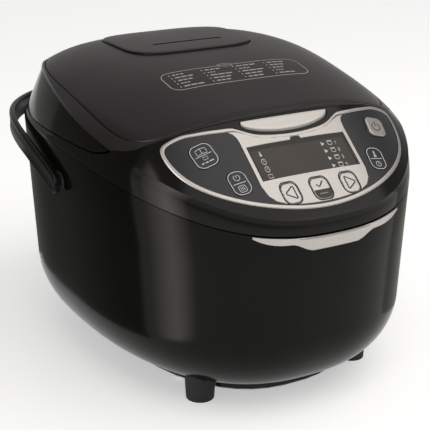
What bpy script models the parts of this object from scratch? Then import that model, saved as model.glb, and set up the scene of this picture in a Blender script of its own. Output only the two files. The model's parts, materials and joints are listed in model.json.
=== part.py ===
"""Electric multicooker with a hinged lid, a sloping control panel and a folding carry handle.

Sizes are in millimetres and become metres when a mesh is made. Points are (x, v, z): x runs to the right
when facing the panel, v runs from the front to the back from the centre of the plan, z runs up from the floor.
PLAN_Y moves the centre of the plan so that the whole object is centred on the world's origin.
"""
import math

import bmesh
import bpy
from mathutils import Matrix, Vector

MM = 0.001
CLEAR = 0.3              # gap between pieces that touch
SEGMENTS = 48            # points round the plan outline
STEPS_PER_TURN = 10      # points in each turn of a spring

# Plan outline: a superellipse that is deeper and squarer at the front than at the back
PLAN_Y = 13.4
HALF_WIDTH = 145.5
FRONT_DEPTH = 214.4
REAR_DEPTH = 170.5
FRONT_POWER = 2.45
REAR_POWER = 2.2

# Body shell
BODY_ROUND = 59.0        # radius of the rounded bottom
BODY_STRAIGHT = 70.0     # height where the straight wall begins
BODY_DRAFT = 5.8         # how far the straight wall leans in by its bottom
BODY_WALL = 2.5
SEAM_HEIGHT = 195.0      # seam between the body and the collar, level behind and dipping to the front
SEAM_DROP = 39.0
SEAM_TURN = 19.0
SEAM_RUN = 229.0

# Collar, panel and lid
DECK = 200.7             # top of the collar under the lid
DECK_UNDER = 194.5
COLLAR_WALL = 2.8
PANEL_WALL = 5.0
LID_BOTTOM = 201.3
LID_WALL = 2.5
EDGE_INSET = 3.0
EDGE_LEAN = 0.334        # inset gained for each millimetre that the upper edge rises above the lid's bottom
EDGE_REAR = 4.0
UPPER_EDGE = ((-211, 167), (-170, 185.5), (-111, 206), (-40, 221.5), (30, 236.5), (75, 239), (120, 231), (161, 212))
LID_CROWN = ((-138, 229), (-80, 243), (-48, 249.5), (-10, 254), (30, 256), (70, 255.5), (100, 250), (130, 236),
             (161, 212))
PANEL_SLOPE = 0.806
PANEL_REF = (-154.0, 212.0)
CROSS_POWER = 3.6        # how squarely the panel and the lid fall away to the sides
FRONT_EDGE = -134.5      # front edge of the lid on the centre line
FRONT_EDGE_BEND = 25.0
FRONT_EDGE_HALF = 130.0
FRONT_EDGE_POWER = 4.5

# Control panel, as places on the plan
PANEL_CENTRE = -132.0
PANEL_HALF = 107.0
PANEL_DEPTH = 71.5
RIM_WIDTH = 2.5
LCD_HALF = 44.5
CRESCENT_HALF = 39.3
LCD_FRONT, LCD_BACK = -179.0, -154.3
BUTTON_TRAVEL = 0.8

# Trim under the seam
TRIM_HALF, TRIM_STEP, TRIM_FLAT = 66.0, 38.0, 20.0
TRIM_LOW, TRIM_RISE, TRIM_TAPER = 143.4, 6.4, 6.7
TRIM_PROUD = 1.4

# Pot and heater
POT_V = 18.0
POT_RADIUS = 115.8
POT_FLANGE = 123.5
POT_BOTTOM = 53.3
SHIELD_RADIUS = 126.0

# Joint axes
PIVOT = (-24.0, 164.5)   # carry handle, v and z
HINGE = (175.2, 199.0)   # lid
LATCH = (-131.5, 178.0)

# Carry handle: height, distance from the plan outline, and section
HANDLE_RISE = ((-33, 161.5), (-24, 164.5), (0, 174), (30, 184), (70, 190), (130, 189), (189, 185))
HANDLE_GAP = ((-36, 0.8), (0, 3), (50, 7), (130, 9), (189, 13))
HANDLE_HEIGHT = 17.0
HANDLE_THICK = 5.5

PARTS = bpy.data.collections.new("multicooker")
CUTTERS = bpy.data.collections.new("cutters")


# ---------------------------------------------------------------- outlines and surfaces

def curve_through(points, at):
    """Height at a place on a smooth curve through the points."""
    def slope(i):
        low, high = max(i - 1, 0), min(i + 1, len(points) - 1)
        return (points[high][1] - points[low][1]) / (points[high][0] - points[low][0])
    at_left, at_right = points[0][0], points[-1][0]
    if at <= at_left:
        return points[0][1] + slope(0) * (at - at_left)
    if at >= at_right:
        return points[-1][1] + slope(len(points) - 1) * (at - at_right)
    i = max(k for k in range(len(points) - 1) if points[k][0] <= at)
    run = points[i + 1][0] - points[i][0]
    t = (at - points[i][0]) / run
    return ((2 * t**3 - 3 * t**2 + 1) * points[i][1] + (t**3 - 2 * t**2 + t) * slope(i) * run
            + (3 * t**2 - 2 * t**3) * points[i + 1][1] + (t**3 - t**2) * slope(i + 1) * run)


def superellipse(angle, half_width, front, rear, front_power, rear_power):
    c, s = math.cos(angle), math.sin(angle)
    depth, power = (rear, rear_power) if s >= 0 else (front, front_power)
    return (half_width * math.copysign(abs(c) ** (2 / power), c), depth * math.copysign(abs(s) ** (2 / power), s))


def plan(angle, inset=0.0):
    return superellipse(angle, HALF_WIDTH - inset, FRONT_DEPTH - inset, REAR_DEPTH - inset,
                        FRONT_POWER, REAR_POWER)


def half_width(v, inset):
    depth, power = (REAR_DEPTH, REAR_POWER) if v >= 0 else (FRONT_DEPTH, FRONT_POWER)
    t = min(abs(v) / (depth - inset), 1.0)
    return (HALF_WIDTH - inset) * (1 - t**power) ** (1 / power)


def angles(count=SEGMENTS):
    return [2 * math.pi * (i + 0.5) / count for i in range(count)]


def seam(v):
    return SEAM_HEIGHT - SEAM_DROP * (max(0.0, SEAM_TURN - v) / SEAM_RUN) ** 2


def body_inset(z):
    if z >= BODY_STRAIGHT:
        return BODY_DRAFT * (SEAM_HEIGHT - z) / (SEAM_HEIGHT - BODY_STRAIGHT)
    drop = min((BODY_STRAIGHT - z) / BODY_ROUND, 1.0)
    return BODY_DRAFT + BODY_ROUND * (1 - math.sqrt(1 - drop * drop))


def upper_edge(v):
    return curve_through(UPPER_EDGE, v)


def edge_inset(v):
    return EDGE_INSET + EDGE_LEAN * max(0.0, upper_edge(v) - DECK) + EDGE_REAR * max(0.0, v / 160)


def edge_ring(angle, grow=0.0):
    """The upper edge: the crease round the collar's front and round the top of the lid's side."""
    v = plan(angle)[1]
    return plan(angle, edge_inset(v) - grow)


def crowned(x, v, middle):
    """Height of a surface that is flat across its middle and falls to the upper edge at the sides."""
    width = half_width(v, edge_inset(v))
    edge = upper_edge(v)
    if width < 1e-6:
        return edge
    return middle - (middle - edge) * min(1.0, abs(x) / width) ** CROSS_POWER


def lid_top(x, v):
    return crowned(x, v, curve_through(LID_CROWN, v))


def panel_middle(v):
    return PANEL_REF[1] + PANEL_SLOPE * (v - PANEL_REF[0])


def panel_top(x, v):
    return crowned(x, v, panel_middle(v))


def lid_front(x):
    return FRONT_EDGE + FRONT_EDGE_BEND * (abs(x) / FRONT_EDGE_HALF) ** FRONT_EDGE_POWER


def panel_frame(x, v):
    """Matrix in metres with its origin on the panel, Z along the surface's normal and X to the right."""
    step = 0.5
    across = Vector((2 * step, 0, panel_top(x + step, v) - panel_top(x - step, v))).normalized()
    along = Vector((0, 2 * step, panel_top(x, v + step) - panel_top(x, v - step)))
    normal = across.cross(along).normalized()
    up = normal.cross(across)
    frame = Matrix((across, up, normal)).transposed().to_4x4()
    frame.translation = Vector((x, v + PLAN_Y, panel_top(x, v))) * MM
    return frame


# ---------------------------------------------------------------- making and joining solids

def world(point):
    x, v, z = point
    return Vector((x, v + PLAN_Y, z)) * MM


def make_material(name, color, roughness, metallic=0.0):
    material = bpy.data.materials.new(name)
    material.use_nodes = True
    shader = material.node_tree.nodes["Principled BSDF"]
    shader.inputs["Base Color"].default_value = (*color, 1.0)
    shader.inputs["Roughness"].default_value = roughness
    shader.inputs["Metallic"].default_value = metallic
    return material


def link(name, mesh, material, origin=None):
    """Put a mesh made in world metres into the scene; with no material it is a cutter."""
    obj = bpy.data.objects.new(name, mesh)
    if origin is not None:
        place = world(origin)
        mesh.transform(Matrix.Translation(-place))
        obj.location = place
    if material is None:
        CUTTERS.objects.link(obj)
        obj.hide_render = True
        obj.display_type = "WIRE"
    else:
        PARTS.objects.link(obj)
        mesh.materials.append(material)
        mesh.shade_smooth()
        mesh.set_sharp_from_angle(angle=math.radians(32))
    return obj


def from_bmesh(name, bm, material, origin=None):
    bmesh.ops.recalc_face_normals(bm, faces=bm.faces)
    bmesh.ops.triangulate(bm, faces=bm.faces[:])
    mesh = bpy.data.meshes.new(name)
    bm.to_mesh(mesh)
    bm.free()
    return link(name, mesh, material, origin)


def loft(name, rings, material, closed=False, origin=None, matrix=None):
    """Skin between rings of points. A closed loft joins its last ring to its first; an open one is capped."""
    bm = bmesh.new()
    if matrix is None:
        rows = [[bm.verts.new(world(p)) for p in ring] for ring in rings]
    else:
        rows = [[bm.verts.new(matrix @ (Vector(p) * MM)) for p in ring] for ring in rings]
    count = len(rows[0])
    pairs = list(zip(rows, rows[1:]))
    if closed:
        pairs.append((rows[-1], rows[0]))
    for low, high in pairs:
        for i in range(count):
            j = (i + 1) % count
            bm.faces.new((low[i], low[j], high[j], high[i]))
    if not closed:
        bm.faces.new(rows[0])
        bm.faces.new(rows[-1])
    return from_bmesh(name, bm, material, origin)


def box(name, low, high, material, origin=None, bevel=0.0):
    size = [(high[i] - low[i]) * MM for i in range(3)]
    middle = world([(high[i] + low[i]) / 2 for i in range(3)])
    bm = bmesh.new()
    bmesh.ops.create_cube(bm, size=1.0, matrix=Matrix.Translation(middle) @ Matrix.Diagonal((*size, 1.0)))
    obj = from_bmesh(name, bm, material, origin)
    if bevel:
        rounding = obj.modifiers.new("rounded_edges", "BEVEL")
        rounding.width = bevel * MM
        rounding.segments = 2
    return obj


def rod(name, radius, start, end, material, sides=18, end_radius=None, origin=None):
    """Cylinder or cone between two points."""
    a, b = world(start), world(end)
    turn = (b - a).to_track_quat("Z", "Y").to_matrix().to_4x4()
    bm = bmesh.new()
    bmesh.ops.create_cone(bm, cap_ends=True, segments=sides, radius1=radius * MM,
                          radius2=(radius if end_radius is None else end_radius) * MM, depth=(b - a).length,
                          matrix=Matrix.Translation((a + b) / 2) @ turn)
    return from_bmesh(name, bm, material, origin)


def turned(name, profile, centre, material, steps=40):
    """Turned piece: the profile of (radius, z) runs down its outer side."""
    bm = bmesh.new()
    verts = [bm.verts.new((r * MM, 0.0, z * MM)) for r, z in profile]
    loop = profile[0][0] > 0
    for a, b in zip(verts, verts[1:] + (verts[:1] if loop else [])):
        bm.edges.new((a, b))
    mesh = bpy.data.meshes.new(name)
    bm.to_mesh(mesh)
    bm.free()
    obj = link(name, mesh, material)
    obj.location = world((centre[0], centre[1], 0.0))
    spin = obj.modifiers.new("turned", "SCREW")
    spin.steps = spin.render_steps = steps
    spin.use_merge_vertices = True
    spin.merge_threshold = 0.00001
    spin.use_smooth_shade = True
    return obj


def wire_along(name, path, wire, material):
    curve = bpy.data.curves.new(name, "CURVE")
    curve.dimensions = "3D"
    curve.bevel_depth = wire / 2 * MM
    curve.bevel_resolution = 0
    curve.use_fill_caps = True
    spline = curve.splines.new("POLY")
    spline.points.add(len(path) - 1)
    for point, place in zip(spline.points, path):
        point.co = (*world(place), 1.0)
    curve.materials.append(material)
    obj = bpy.data.objects.new(name, curve)
    PARTS.objects.link(obj)
    return obj


def coil(name, centre, radius, low, high, turns, wire, material):
    """Compression spring standing on end."""
    count = turns * STEPS_PER_TURN
    path = []
    for i in range(count + 1):
        turn = 2 * math.pi * i / STEPS_PER_TURN
        path.append((centre[0] + radius * math.cos(turn), centre[1] + radius * math.sin(turn),
                     low + (high - low) * i / count))
    return wire_along(name, path, wire, material)


def combine(obj, other, operation):
    step = obj.modifiers.new(other.name, "BOOLEAN")
    step.operation = operation
    step.object = other
    step.solver = "EXACT"
    return obj


def cut(obj, *others):
    for other in others:
        combine(obj, other, "DIFFERENCE")
    return obj


def add(obj, *others):
    for other in others:
        combine(obj, other, "UNION")
    return obj


def prism(name, outline, low, high, material=None, origin=None):
    """Upright block with the outline of (x, v) points, between two heights or height functions."""
    def level(limit, x, v):
        return limit(x, v) if callable(limit) else limit
    return loft(name, [[(x, v, level(limit, x, v)) for x, v in outline] for limit in (low, high)], material,
                origin=origin)


# ---------------------------------------------------------------- shells

ROUND_STEPS = (0, 17, 34, 52, 71, 90)
DOME_SHARES = (0.96, 0.87, 0.74, 0.54, 0.27)

def domed_block(name, surface, bottom, grow=0.0, drop=0.0, material=None):
    """Everything inside the walls from `bottom` up to a domed surface, which may be lowered by `drop`."""
    shoulder = [min(upper_edge(plan(a)[1]) - 1.5, DECK) - drop for a in angles()]
    rings = [[(*plan(a, EDGE_INSET - grow), bottom) for a in angles()]]
    rings.append([(*plan(a, EDGE_INSET - grow), z) for a, z in zip(angles(), shoulder)])
    rings.append([(*edge_ring(a, grow), surface(*edge_ring(a)) - drop) for a in angles()])
    for share in DOME_SHARES:
        rings.append([(x * share, v * share, surface(x * share, v * share) - drop)
                      for x, v in map(edge_ring, angles())])
    return loft(name, rings, material)


def behind_front_edge(name, shift, low, high=400.0):
    """Cutter: all that lies behind the lid's front edge, which may be shifted forwards or back."""
    reach = 175.0
    edge = [(x, lid_front(x) + shift) for x in range(-160, 161, 10)]
    outline = [(-reach, edge[0][1])] + edge + [(reach, edge[-1][1]), (reach, 240.0), (-reach, 240.0)]
    return prism(name, outline, low, high)


def below_curve(name, height, low=60.0, reach=175.0):
    """Cutter: all that lies below a height that depends on v."""
    places = list(range(-230, 241, 10))
    side = [(v, height(v)) for v in places] + [(240.0, low), (-230.0, low)]
    return loft(name, [[(x, v, z) for v, z in side] for x in (-reach, reach)], None)


def round_heights(radius):
    return [BODY_STRAIGHT - radius * math.cos(math.radians(degrees)) for degrees in ROUND_STEPS]


def make_outer_body(material):
    """Rounded shell, open at the top, with its bores."""
    outer = [[(*plan(t, body_inset(z)), z) for t in angles()] for z in round_heights(BODY_ROUND)]
    thin = BODY_ROUND - BODY_WALL
    inner = []
    for degrees in ROUND_STEPS:
        a = math.radians(degrees)
        inset = BODY_DRAFT + BODY_WALL + thin * (1 - math.sin(a))
        inner.append([(*plan(t, inset), BODY_STRAIGHT - thin * math.cos(a)) for t in angles()])
    outer_ring, inner_ring = [], []
    for t in angles():
        z = seam(plan(t)[1]) - CLEAR / 2
        outer_ring.append((*plan(t, body_inset(z)), z))
        inner_ring.append((*plan(t, body_inset(z) + BODY_WALL), z))
    outer.append(outer_ring)
    inner.append(inner_ring)
    body = loft("outer_body", outer + inner[::-1], material, closed=True)
    v, z = PIVOT
    cut(body, rod("bush_bore", 8.3, (-170, v, z), (170, v, z), None))
    cut(body, box("inlet_opening", (-27.8, 140, 64.7), (27.8, 190, 95.3), None))
    for i, (x, v) in enumerate(screw_places()):
        cut(body, rod(f"body_screw_hole_{i}", 2.5, (x, v, 5), (x, v, 25), None, sides=12))
    return body


def collar_block(name, grow, deck, shift, drop, bottom):
    """Cutter: the collar's filled shape, sloping in front of the lid's edge and level behind it."""
    block = domed_block(name, lambda x, v: min(panel_top(x, v), 245.0), bottom, grow, drop)
    return cut(block, behind_front_edge(name + "_lid_space", shift, deck))


def collar_skin(material):
    """The collar's filled outer shape, flush with the body at the seam."""
    def wall(share):
        ring = []
        for a in angles():
            v = plan(a)[1]
            low, high = seam(v), min(upper_edge(v) - 1.5, DECK)
            inset = body_inset(low) + share**2 * (EDGE_INSET - body_inset(low))
            ring.append((*plan(a, inset), low + share * (high - low)))
        return ring
    rings = [[(*plan(a, body_inset(140.0)), 140.0) for a in angles()], wall(0.0), wall(0.6), wall(1.0)]
    rings.append([(*edge_ring(a), panel_top(*edge_ring(a))) for a in angles()])
    for share in DOME_SHARES:
        rings.append([(x * share, v * share, min(panel_top(x * share, v * share), 245.0))
                      for x, v in map(edge_ring, angles())])
    return loft("collar", rings, material)


def make_collar(material):
    collar = collar_skin(material)
    cut(collar, behind_front_edge("lid_space", 0.0, DECK))
    cut(collar, collar_block("collar_hollow", -COLLAR_WALL, DECK_UNDER, -COLLAR_WALL, PANEL_WALL, 100.0))
    cut(collar, below_curve("below_seam", lambda v: seam(v) + CLEAR / 2))
    cut(collar, rod("pot_hole", POT_RADIUS + 2.8, (0, POT_V, 150), (0, POT_V, 260), None, sides=48))
    cut(collar, rod("pot_flange_seat", POT_FLANGE + 0.6, (0, POT_V, 198.0), (0, POT_V, 260), None, sides=48))
    cut(collar, panel_tile("panel_recess", panel_outline(0.4), -2.6, 60.0, None))
    cut(collar, prism("panel_window", panel_outline(-4.0), 120.0, 300.0))
    cut(collar, prism("release_opening", offset_outline(crescent(behind=0.4), 1.0), 190.0, 300.0))
    cut(collar, box("latch_pocket", (-16, -140, 170), (16, -115, 203), None))
    return collar


# ---------------------------------------------------------------- control panel

def offset_outline(outline, distance):
    """Outline moved outwards by a distance, point by point."""
    area = sum(a[0] * b[1] - b[0] * a[1] for a, b in zip(outline, outline[1:] + outline[:1]))
    side = 1.0 if area > 0 else -1.0
    moved = []
    for before, here, after in zip(outline[-1:] + outline[:-1], outline, outline[1:] + outline[:1]):
        along = Vector((after[0] - before[0], after[1] - before[1])).normalized()
        moved.append((here[0] + side * along.y * distance, here[1] - side * along.x * distance))
    return moved


def mirrored(right_half):
    """Closed outline from its right half, which runs from the bottom centre to the top centre."""
    return right_half + [(-x, v) for x, v in reversed(right_half) if abs(x) > 1e-6]


def panel_outline(grow=0.0):
    """Half oval under the lid's front edge, with a dip at its top for the release button."""
    right = [(0.0, PANEL_CENTRE - PANEL_DEPTH - grow)]
    for degrees in range(-84, -2, 6):
        c, s = math.cos(math.radians(degrees)), math.sin(math.radians(degrees))
        right.append(((PANEL_HALF + grow) * c**0.976, PANEL_CENTRE - (PANEL_DEPTH + grow) * abs(s)**0.976))
    right += [(PANEL_HALF - 0.6 + grow, -132.4 + grow), (PANEL_HALF - 3.5 + grow, -130.0 + grow)]
    top = ((96, -130.3), (88, -131.5), (78, -134), (62, -137), (50, -138.6), (45, -140.5), (33, -146),
           (19, -148.5), (0, -149.5))
    right += [(x * (1 + grow / PANEL_HALF), v + grow) for x, v in top]
    return mirrored(right)


def crescent(behind=-1.8):
    """Outline of the lid release button, closed along the lid's front edge."""
    right = [(0.0, -146.3), (14, -145.7), (26, -143.9), (35, -141.2), (38.2, -139.4), (CRESCENT_HALF, -137.6)]
    return mirrored(right + [(x, lid_front(x) + behind) for x in (CRESCENT_HALF, 20.0, 0.0)])


def panel_slab(name, low, high, material):
    """Sheet that follows the panel's curved surface."""
    across = [-114 + 228 * i / 14 for i in range(15)]
    along = [-210 + 90 * i / 6 for i in range(7)]
    bm = bmesh.new()
    sheets = [[[bm.verts.new(world((x, v, panel_top(x, v) + lift))) for x in across] for v in along]
              for lift in (low, high)]
    for sheet in sheets:
        for r in range(len(along) - 1):
            for c in range(len(across) - 1):
                bm.faces.new((sheet[r][c], sheet[r][c + 1], sheet[r + 1][c + 1], sheet[r + 1][c]))
    bottom, top = sheets
    rim_low = bottom[0] + [row[-1] for row in bottom[1:]] + bottom[-1][-2::-1] + [r[0] for r in bottom[-2:0:-1]]
    rim_high = top[0] + [row[-1] for row in top[1:]] + top[-1][-2::-1] + [r[0] for r in top[-2:0:-1]]
    for i in range(len(rim_low)):
        j = (i + 1) % len(rim_low)
        bm.faces.new((rim_low[i], rim_low[j], rim_high[j], rim_high[i]))
    return from_bmesh(name, bm, material)


def panel_tile(name, outline, low, high, material):
    slab = panel_slab(name, low, high, material)
    return combine(slab, prism(name + "_outline", outline, 100.0, 300.0), "INTERSECT")


def rounded_square(width, height, corner, per_corner=3):
    points = []
    for quarter, (sx, sy) in enumerate(((1, 1), (-1, 1), (-1, -1), (1, -1))):
        cx, cy = sx * (width / 2 - corner), sy * (height / 2 - corner)
        for i in range(per_corner):
            a = math.pi / 2 * (quarter + i / (per_corner - 1))
            points.append((cx + corner * math.cos(a), cy + corner * math.sin(a)))
    return points


BUTTONS = {
    # name: (x, v, width, height, rise above the panel, depth below it)
    "recipes_button": (-78.8, -150.3, 18.5, 21.0, 0.2, 5.0),
    "timer_button": (-62.6, -175.4, 15.0, 21.0, 0.2, 5.0),
    "left_button": (-26.8, -190.4, 14.0, 18.0, 1.0, 9.0),
    "ok_button": (0.0, -190.9, 15.5, 19.0, 1.0, 9.0),
    "right_button": (26.8, -190.4, 14.0, 18.0, 1.0, 9.0),
    "temperature_button": (62.6, -175.4, 15.0, 21.0, 0.2, 5.0),
    "power_button": (78.8, -150.3, 17.5, 18.5, 1.8, 5.0),
}


def button_block(name, spec, grow, low, high, material=None):
    x, v, width, height, _, _ = spec
    outline = rounded_square(width + 2 * grow, height + 2 * grow, 5.0 + grow)
    return loft(name, [[(px, py, z) for px, py in outline] for z in (low, high)], material,
                matrix=panel_frame(x, v))


def make_button(name, spec, material):
    x, v, width, height, rise, depth = spec
    def ring(grow, z):
        return [(px, py, z) for px, py in rounded_square(width + 2 * grow, height + 2 * grow, 5.0 + grow)]
    rings = [ring(-2.0, -depth), ring(-2.0, -4.4), ring(1.2, -4.3), ring(1.2, -3.4), ring(0.0, -3.3),
             ring(0.0, rise - 0.4), ring(-0.6, rise)]
    return loft(name, rings, material, origin=(x, v, panel_top(x, v)), matrix=panel_frame(x, v))


def lcd_outline():
    tab = 4.7
    return [(-LCD_HALF, LCD_FRONT), (LCD_HALF, LCD_FRONT), (LCD_HALF, LCD_BACK), (tab, LCD_BACK),
            (tab - 0.8, LCD_BACK + 2.0), (0.8 - tab, LCD_BACK + 2.0), (-tab, LCD_BACK), (-LCD_HALF, LCD_BACK)]


def plate_outline():
    right = [(0.0, -199.6), (24, -198.3), (34, -196.6), (41, -193.6), (45.5, -189.5), (47.5, -184.0),
             (47.6, -150.0), (48.2, -146.2), (49.8, -143.2), (52.5, -141.4), (47, -142.4), (42, -144.4),
             (32, -148.8), (18, -151.2), (0.0, -152.2)]
    return mirrored(right)


def make_panel(materials):
    fascia = panel_tile("control_fascia", panel_outline(), -2.3, -0.3, materials["gloss_black"])
    rim = panel_tile("panel_rim", panel_outline(), 0.0, 0.7, materials["silver"])
    cut(rim, prism("rim_inside", panel_outline(-RIM_WIDTH), 100.0, 300.0))
    plate = panel_tile("centre_plate", plate_outline(), 0.0, 0.5, materials["silver"])
    panel_tile("lcd_window", lcd_outline(), 0.0, 0.25, materials["glass"])
    cut(plate, prism("window_opening", offset_outline(lcd_outline(), CLEAR), 100.0, 300.0))
    view = [(-LCD_HALF + 3, LCD_FRONT + 2), (LCD_HALF - 3, LCD_FRONT + 2),
            (LCD_HALF - 3, LCD_BACK - 2), (-LCD_HALF + 3, LCD_BACK - 2)]
    cut(fascia, prism("view_opening", view, 100.0, 300.0))
    for name, spec in BUTTONS.items():
        hole = button_block(name + "_hole", spec, 0.35, -12.0, 12.0)
        cut(fascia, hole)
        if name in ("left_button", "ok_button", "right_button"):
            cut(plate, hole)
        make_button(name, spec, materials["silver" if spec[4] > 0.5 else "gloss_black"])
    make_lcd_module(materials["circuit_green"])
    make_control_board(materials["circuit_green"])


def make_lcd_module(material):
    middle = (LCD_FRONT + LCD_BACK) / 2 - 2.5
    half = (LCD_BACK - LCD_FRONT) / 2 / math.cos(math.atan(PANEL_SLOPE)) - 3
    outline = [(-LCD_HALF, -half), (LCD_HALF, -half), (LCD_HALF, half), (-LCD_HALF, half)]
    return loft("lcd_module", [[(x, y, z) for x, y in outline] for z in (-14.0, -3.2)], material,
                matrix=panel_frame(0.0, middle))


def make_control_board(material):
    """Board under the panel, parallel to its middle, with a post under each button for its switch."""
    right = [(94 * math.cos(math.radians(d)), PANEL_CENTRE + 60 * math.sin(math.radians(d)))
             for d in range(-90, -12, 6)]
    right[0] = (0.0, PANEL_CENTRE - 60)
    outline = mirrored(right + [(92, -141), (66, -141), (50, -152), (0.0, -156)])
    board = prism("control_board", outline, lambda x, v: panel_middle(v) - 22.5,
                  lambda x, v: panel_middle(v) - 20.5, material)
    for name, spec in BUTTONS.items():
        x, v, depth = spec[0], spec[1], spec[5]
        frame = panel_frame(x, v)
        fall = (panel_middle(v) - panel_top(x, v)) * frame[2][2]
        ring = [(3.0 * math.cos(a), 3.0 * math.sin(a)) for a in angles(10)]
        add(board, loft(name + "_switch", [[(px, py, z) for px, py in ring] for z in (fall - 17.0, -depth - 1.2)],
                        None, matrix=frame))
    return board


# ---------------------------------------------------------------- lid release and latch

def make_release_button(material):
    middle = (0, -141.0, 218.0)
    button = prism("release_button", crescent(), 208.0, lambda x, v: panel_top(x, v) + 1.0, material, middle)
    add(button, box("release_stem", (-5, -145, 191.8), (5, -141, 210), None))
    return button


def make_release_guide(material):
    outline = offset_outline(crescent(behind=-4.5), 0.6)
    guide = prism("release_guide", outline, 200.0, 201.6, material)
    return cut(guide, box("stem_opening", (-5.6, -145.6, 190), (5.6, -140.4, 210), None))


def make_latch(materials):
    v, z = LATCH
    hook = box("latch_hook", (-7, v - 2, z - 4), (7, v + 2, z + 19), materials["grey_plastic"], origin=(0, v, z))
    add(hook, rod("latch_hub", 4.4, (-7, v, z), (7, v, z), None, sides=20))
    add(hook, box("latch_nose", (-7, v + 1, z + 15.5), (7, v + 5.2, z + 18.8), None))
    add(hook, box("latch_arm", (-4, v - 15.5, z + 8.5), (4, v - 1, z + 12.5), None))
    cut(hook, rod("latch_bore", 2.3, (-20, v, z), (20, v, z), None, sides=16))
    bracket = box("latch_bracket", (-12, v - 5.5, z - 8), (12, v + 4.9, z + 16), materials["grey_plastic"])
    cut(bracket, box("latch_space", (-8, v - 9, z - 5.5), (8, v + 9, z + 20), None))
    cut(bracket, rod("latch_pin_bore", 2.3, (-20, v, z), (20, v, z), None, sides=16))
    rod("latch_pin", 2.0, (-13, v, z), (13, v, z), materials["steel"], sides=16)
    coil("release_spring", (14.0, -142.3), 2.6, 202.4, 207.2, 3, 0.7, materials["steel"])


def make_lid_catch(material):
    catch = box("lid_catch", (-14, -128, 201.2), (14, -112, 203.3), material)
    add(catch, box("catch_tongue", (-12, -123.5, 190), (12, -121.3, 202), None))
    return add(catch, box("catch_lip", (-12, -126.0, 190), (12, -122.5, 192.5), None))


# ---------------------------------------------------------------- lid

def panel_inset_outline(grow=0.0):
    """Outline of the cover plate let into the top of the lid."""
    return [superellipse(a, 126.0 + grow, 131.0 + grow, 132.0 + grow, 5.4, 2.4) for a in angles()]


def vent_outline(grow=0.0, count=40):
    ring = [superellipse(a, 61.0 + grow, 47.0 + grow, 47.0 + grow, 3.9, 3.9) for a in angles(count)]
    return [(x, v + 41.0) for x, v in ring]


def layered(name, outline_rings, material):
    """Solid from rings of (outline, height offset from the lid's surface)."""
    return loft(name, [[(x, v, lid_top(x, v) + lift) for x, v in outline] for outline, lift in outline_rings],
                material)


def shrunk(outline, share, centre_v=0.0):
    return [(x * share, centre_v + (v - centre_v) * share) for x, v in outline]


def lid_sheet(name, outline, low, high, centre_v, material=None):
    shares = (0.25, 0.6, 0.86, 1.0)
    rings = [(shrunk(outline, s, centre_v), low) for s in shares]
    rings += [(shrunk(outline, s, centre_v), high) for s in reversed(shares)]
    return layered(name, rings, material)


def make_lid_cover(material):
    cover = domed_block("lid_cover", lid_top, 190.0, material=material)
    combine(cover, behind_front_edge("cover_extent", 0.8, 150.0), "INTERSECT")
    hollow = domed_block("cover_hollow", lid_top, 120.0, grow=1.5, drop=3.2)
    combine(hollow, behind_front_edge("hollow_extent", 0.8 + LID_WALL, 100.0), "INTERSECT")
    cut(cover, hollow)
    cut(cover, below_curve("below_cover", lambda v: max(upper_edge(v) - 2.5, LID_BOTTOM)))
    cut(cover, lid_sheet("top_panel_seat", panel_inset_outline(CLEAR), -1.9, 12.0, 0.0))
    cut(cover, prism("vent_opening", vent_outline(-5.0), 150.0, 300.0))
    return cover


def make_top_panel(material):
    panel = lid_sheet("lid_top_panel", panel_inset_outline(), -1.3, 0.0, 0.0, material)
    return cut(panel, prism("vent_cap_opening", vent_outline(0.4), 150.0, 300.0))


def make_vent_cap(material):
    outline = vent_outline()
    rings = [(shrunk(outline, s, 41.0), -1.3) for s in (0.3, 0.75, 1.0)]
    rings += [(outline, 0.9), (vent_outline(-1.4), 1.8)]
    rings += [(shrunk(outline, s, 41.0), 1.8) for s in (0.75, 0.3)]
    cap = layered("steam_vent_cap", rings, material)
    return cut(cap, box("steam_slot", (-34, 18.4, 240), (34, 21.6, 270), None))


def make_side_band(material):
    """Band round the side and the back of the lid, ending behind the collar's front corners."""
    start = -0.455
    turns = [start + (math.pi - 2 * start) * i / 48 for i in range(49)]
    sections = []
    for a in turns:
        v = plan(a)[1]
        top = min(upper_edge(v), upper_edge(edge_ring(a)[1])) - 2.8
        share = (top - LID_BOTTOM) / (upper_edge(v) - LID_BOTTOM)
        high_inset = EDGE_INSET + share * (edge_inset(v) - EDGE_INSET)
        sections.append([(*plan(a, EDGE_INSET), LID_BOTTOM), (*plan(a, high_inset), top),
                         (*plan(a, high_inset + 2.2), top), (*plan(a, EDGE_INSET + 2.2), LID_BOTTOM)])
    band = loft("lid_side_band", sections, material)
    hv, hz = HINGE
    for side in (-1, 1):
        low, high = sorted((side * 13.5, side * 21.4))
        add(band, box(f"lug_arm_{side}", (low, 164.5, LID_BOTTOM + 0.3), (high, hv, hz + 4.1), None))
        add(band, rod(f"lug_barrel_{side}", 4.2, (low, hv, hz), (high, hv, hz), None, sides=20))
    return cut(band, rod("lug_bore", 2.1, (-40, hv, hz), (40, hv, hz), None, sides=20))


def lid_floor_outline(inset, clearance):
    outline = []
    for a in angles():
        x, v = plan(a, inset)
        outline.append((x, max(v, lid_front(x) + clearance)))
    return outline


def make_lid_frame(material):
    frame = prism("lid_frame", lid_floor_outline(12.0, 4.4), 203.6, 206.1, material)
    return cut(frame, rod("frame_steam_hole", 8.0, (0, 41, 190), (0, 41, 215), None))


def make_lid_inside(materials):
    turned("inner_lid", [(6, 202.8), (112.5, 202.8), (112.5, 201.2), (6, 201.2)], (0, POT_V), materials["aluminium"])
    turned("lid_gasket", [(113, 203.2), (119.5, 203.2), (121.5, 200.8), (120, 200.6), (113, 200.6)], (0, POT_V),
           materials["silicone"])
    turned("steam_cup", [(20.4, 250.0), (22, 250.0), (22, 206.4), (8, 206.4), (8, 208.0), (20.4, 208.0)], (0, 41),
           materials["grey_plastic"], steps=32)


# ---------------------------------------------------------------- hinge

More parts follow.
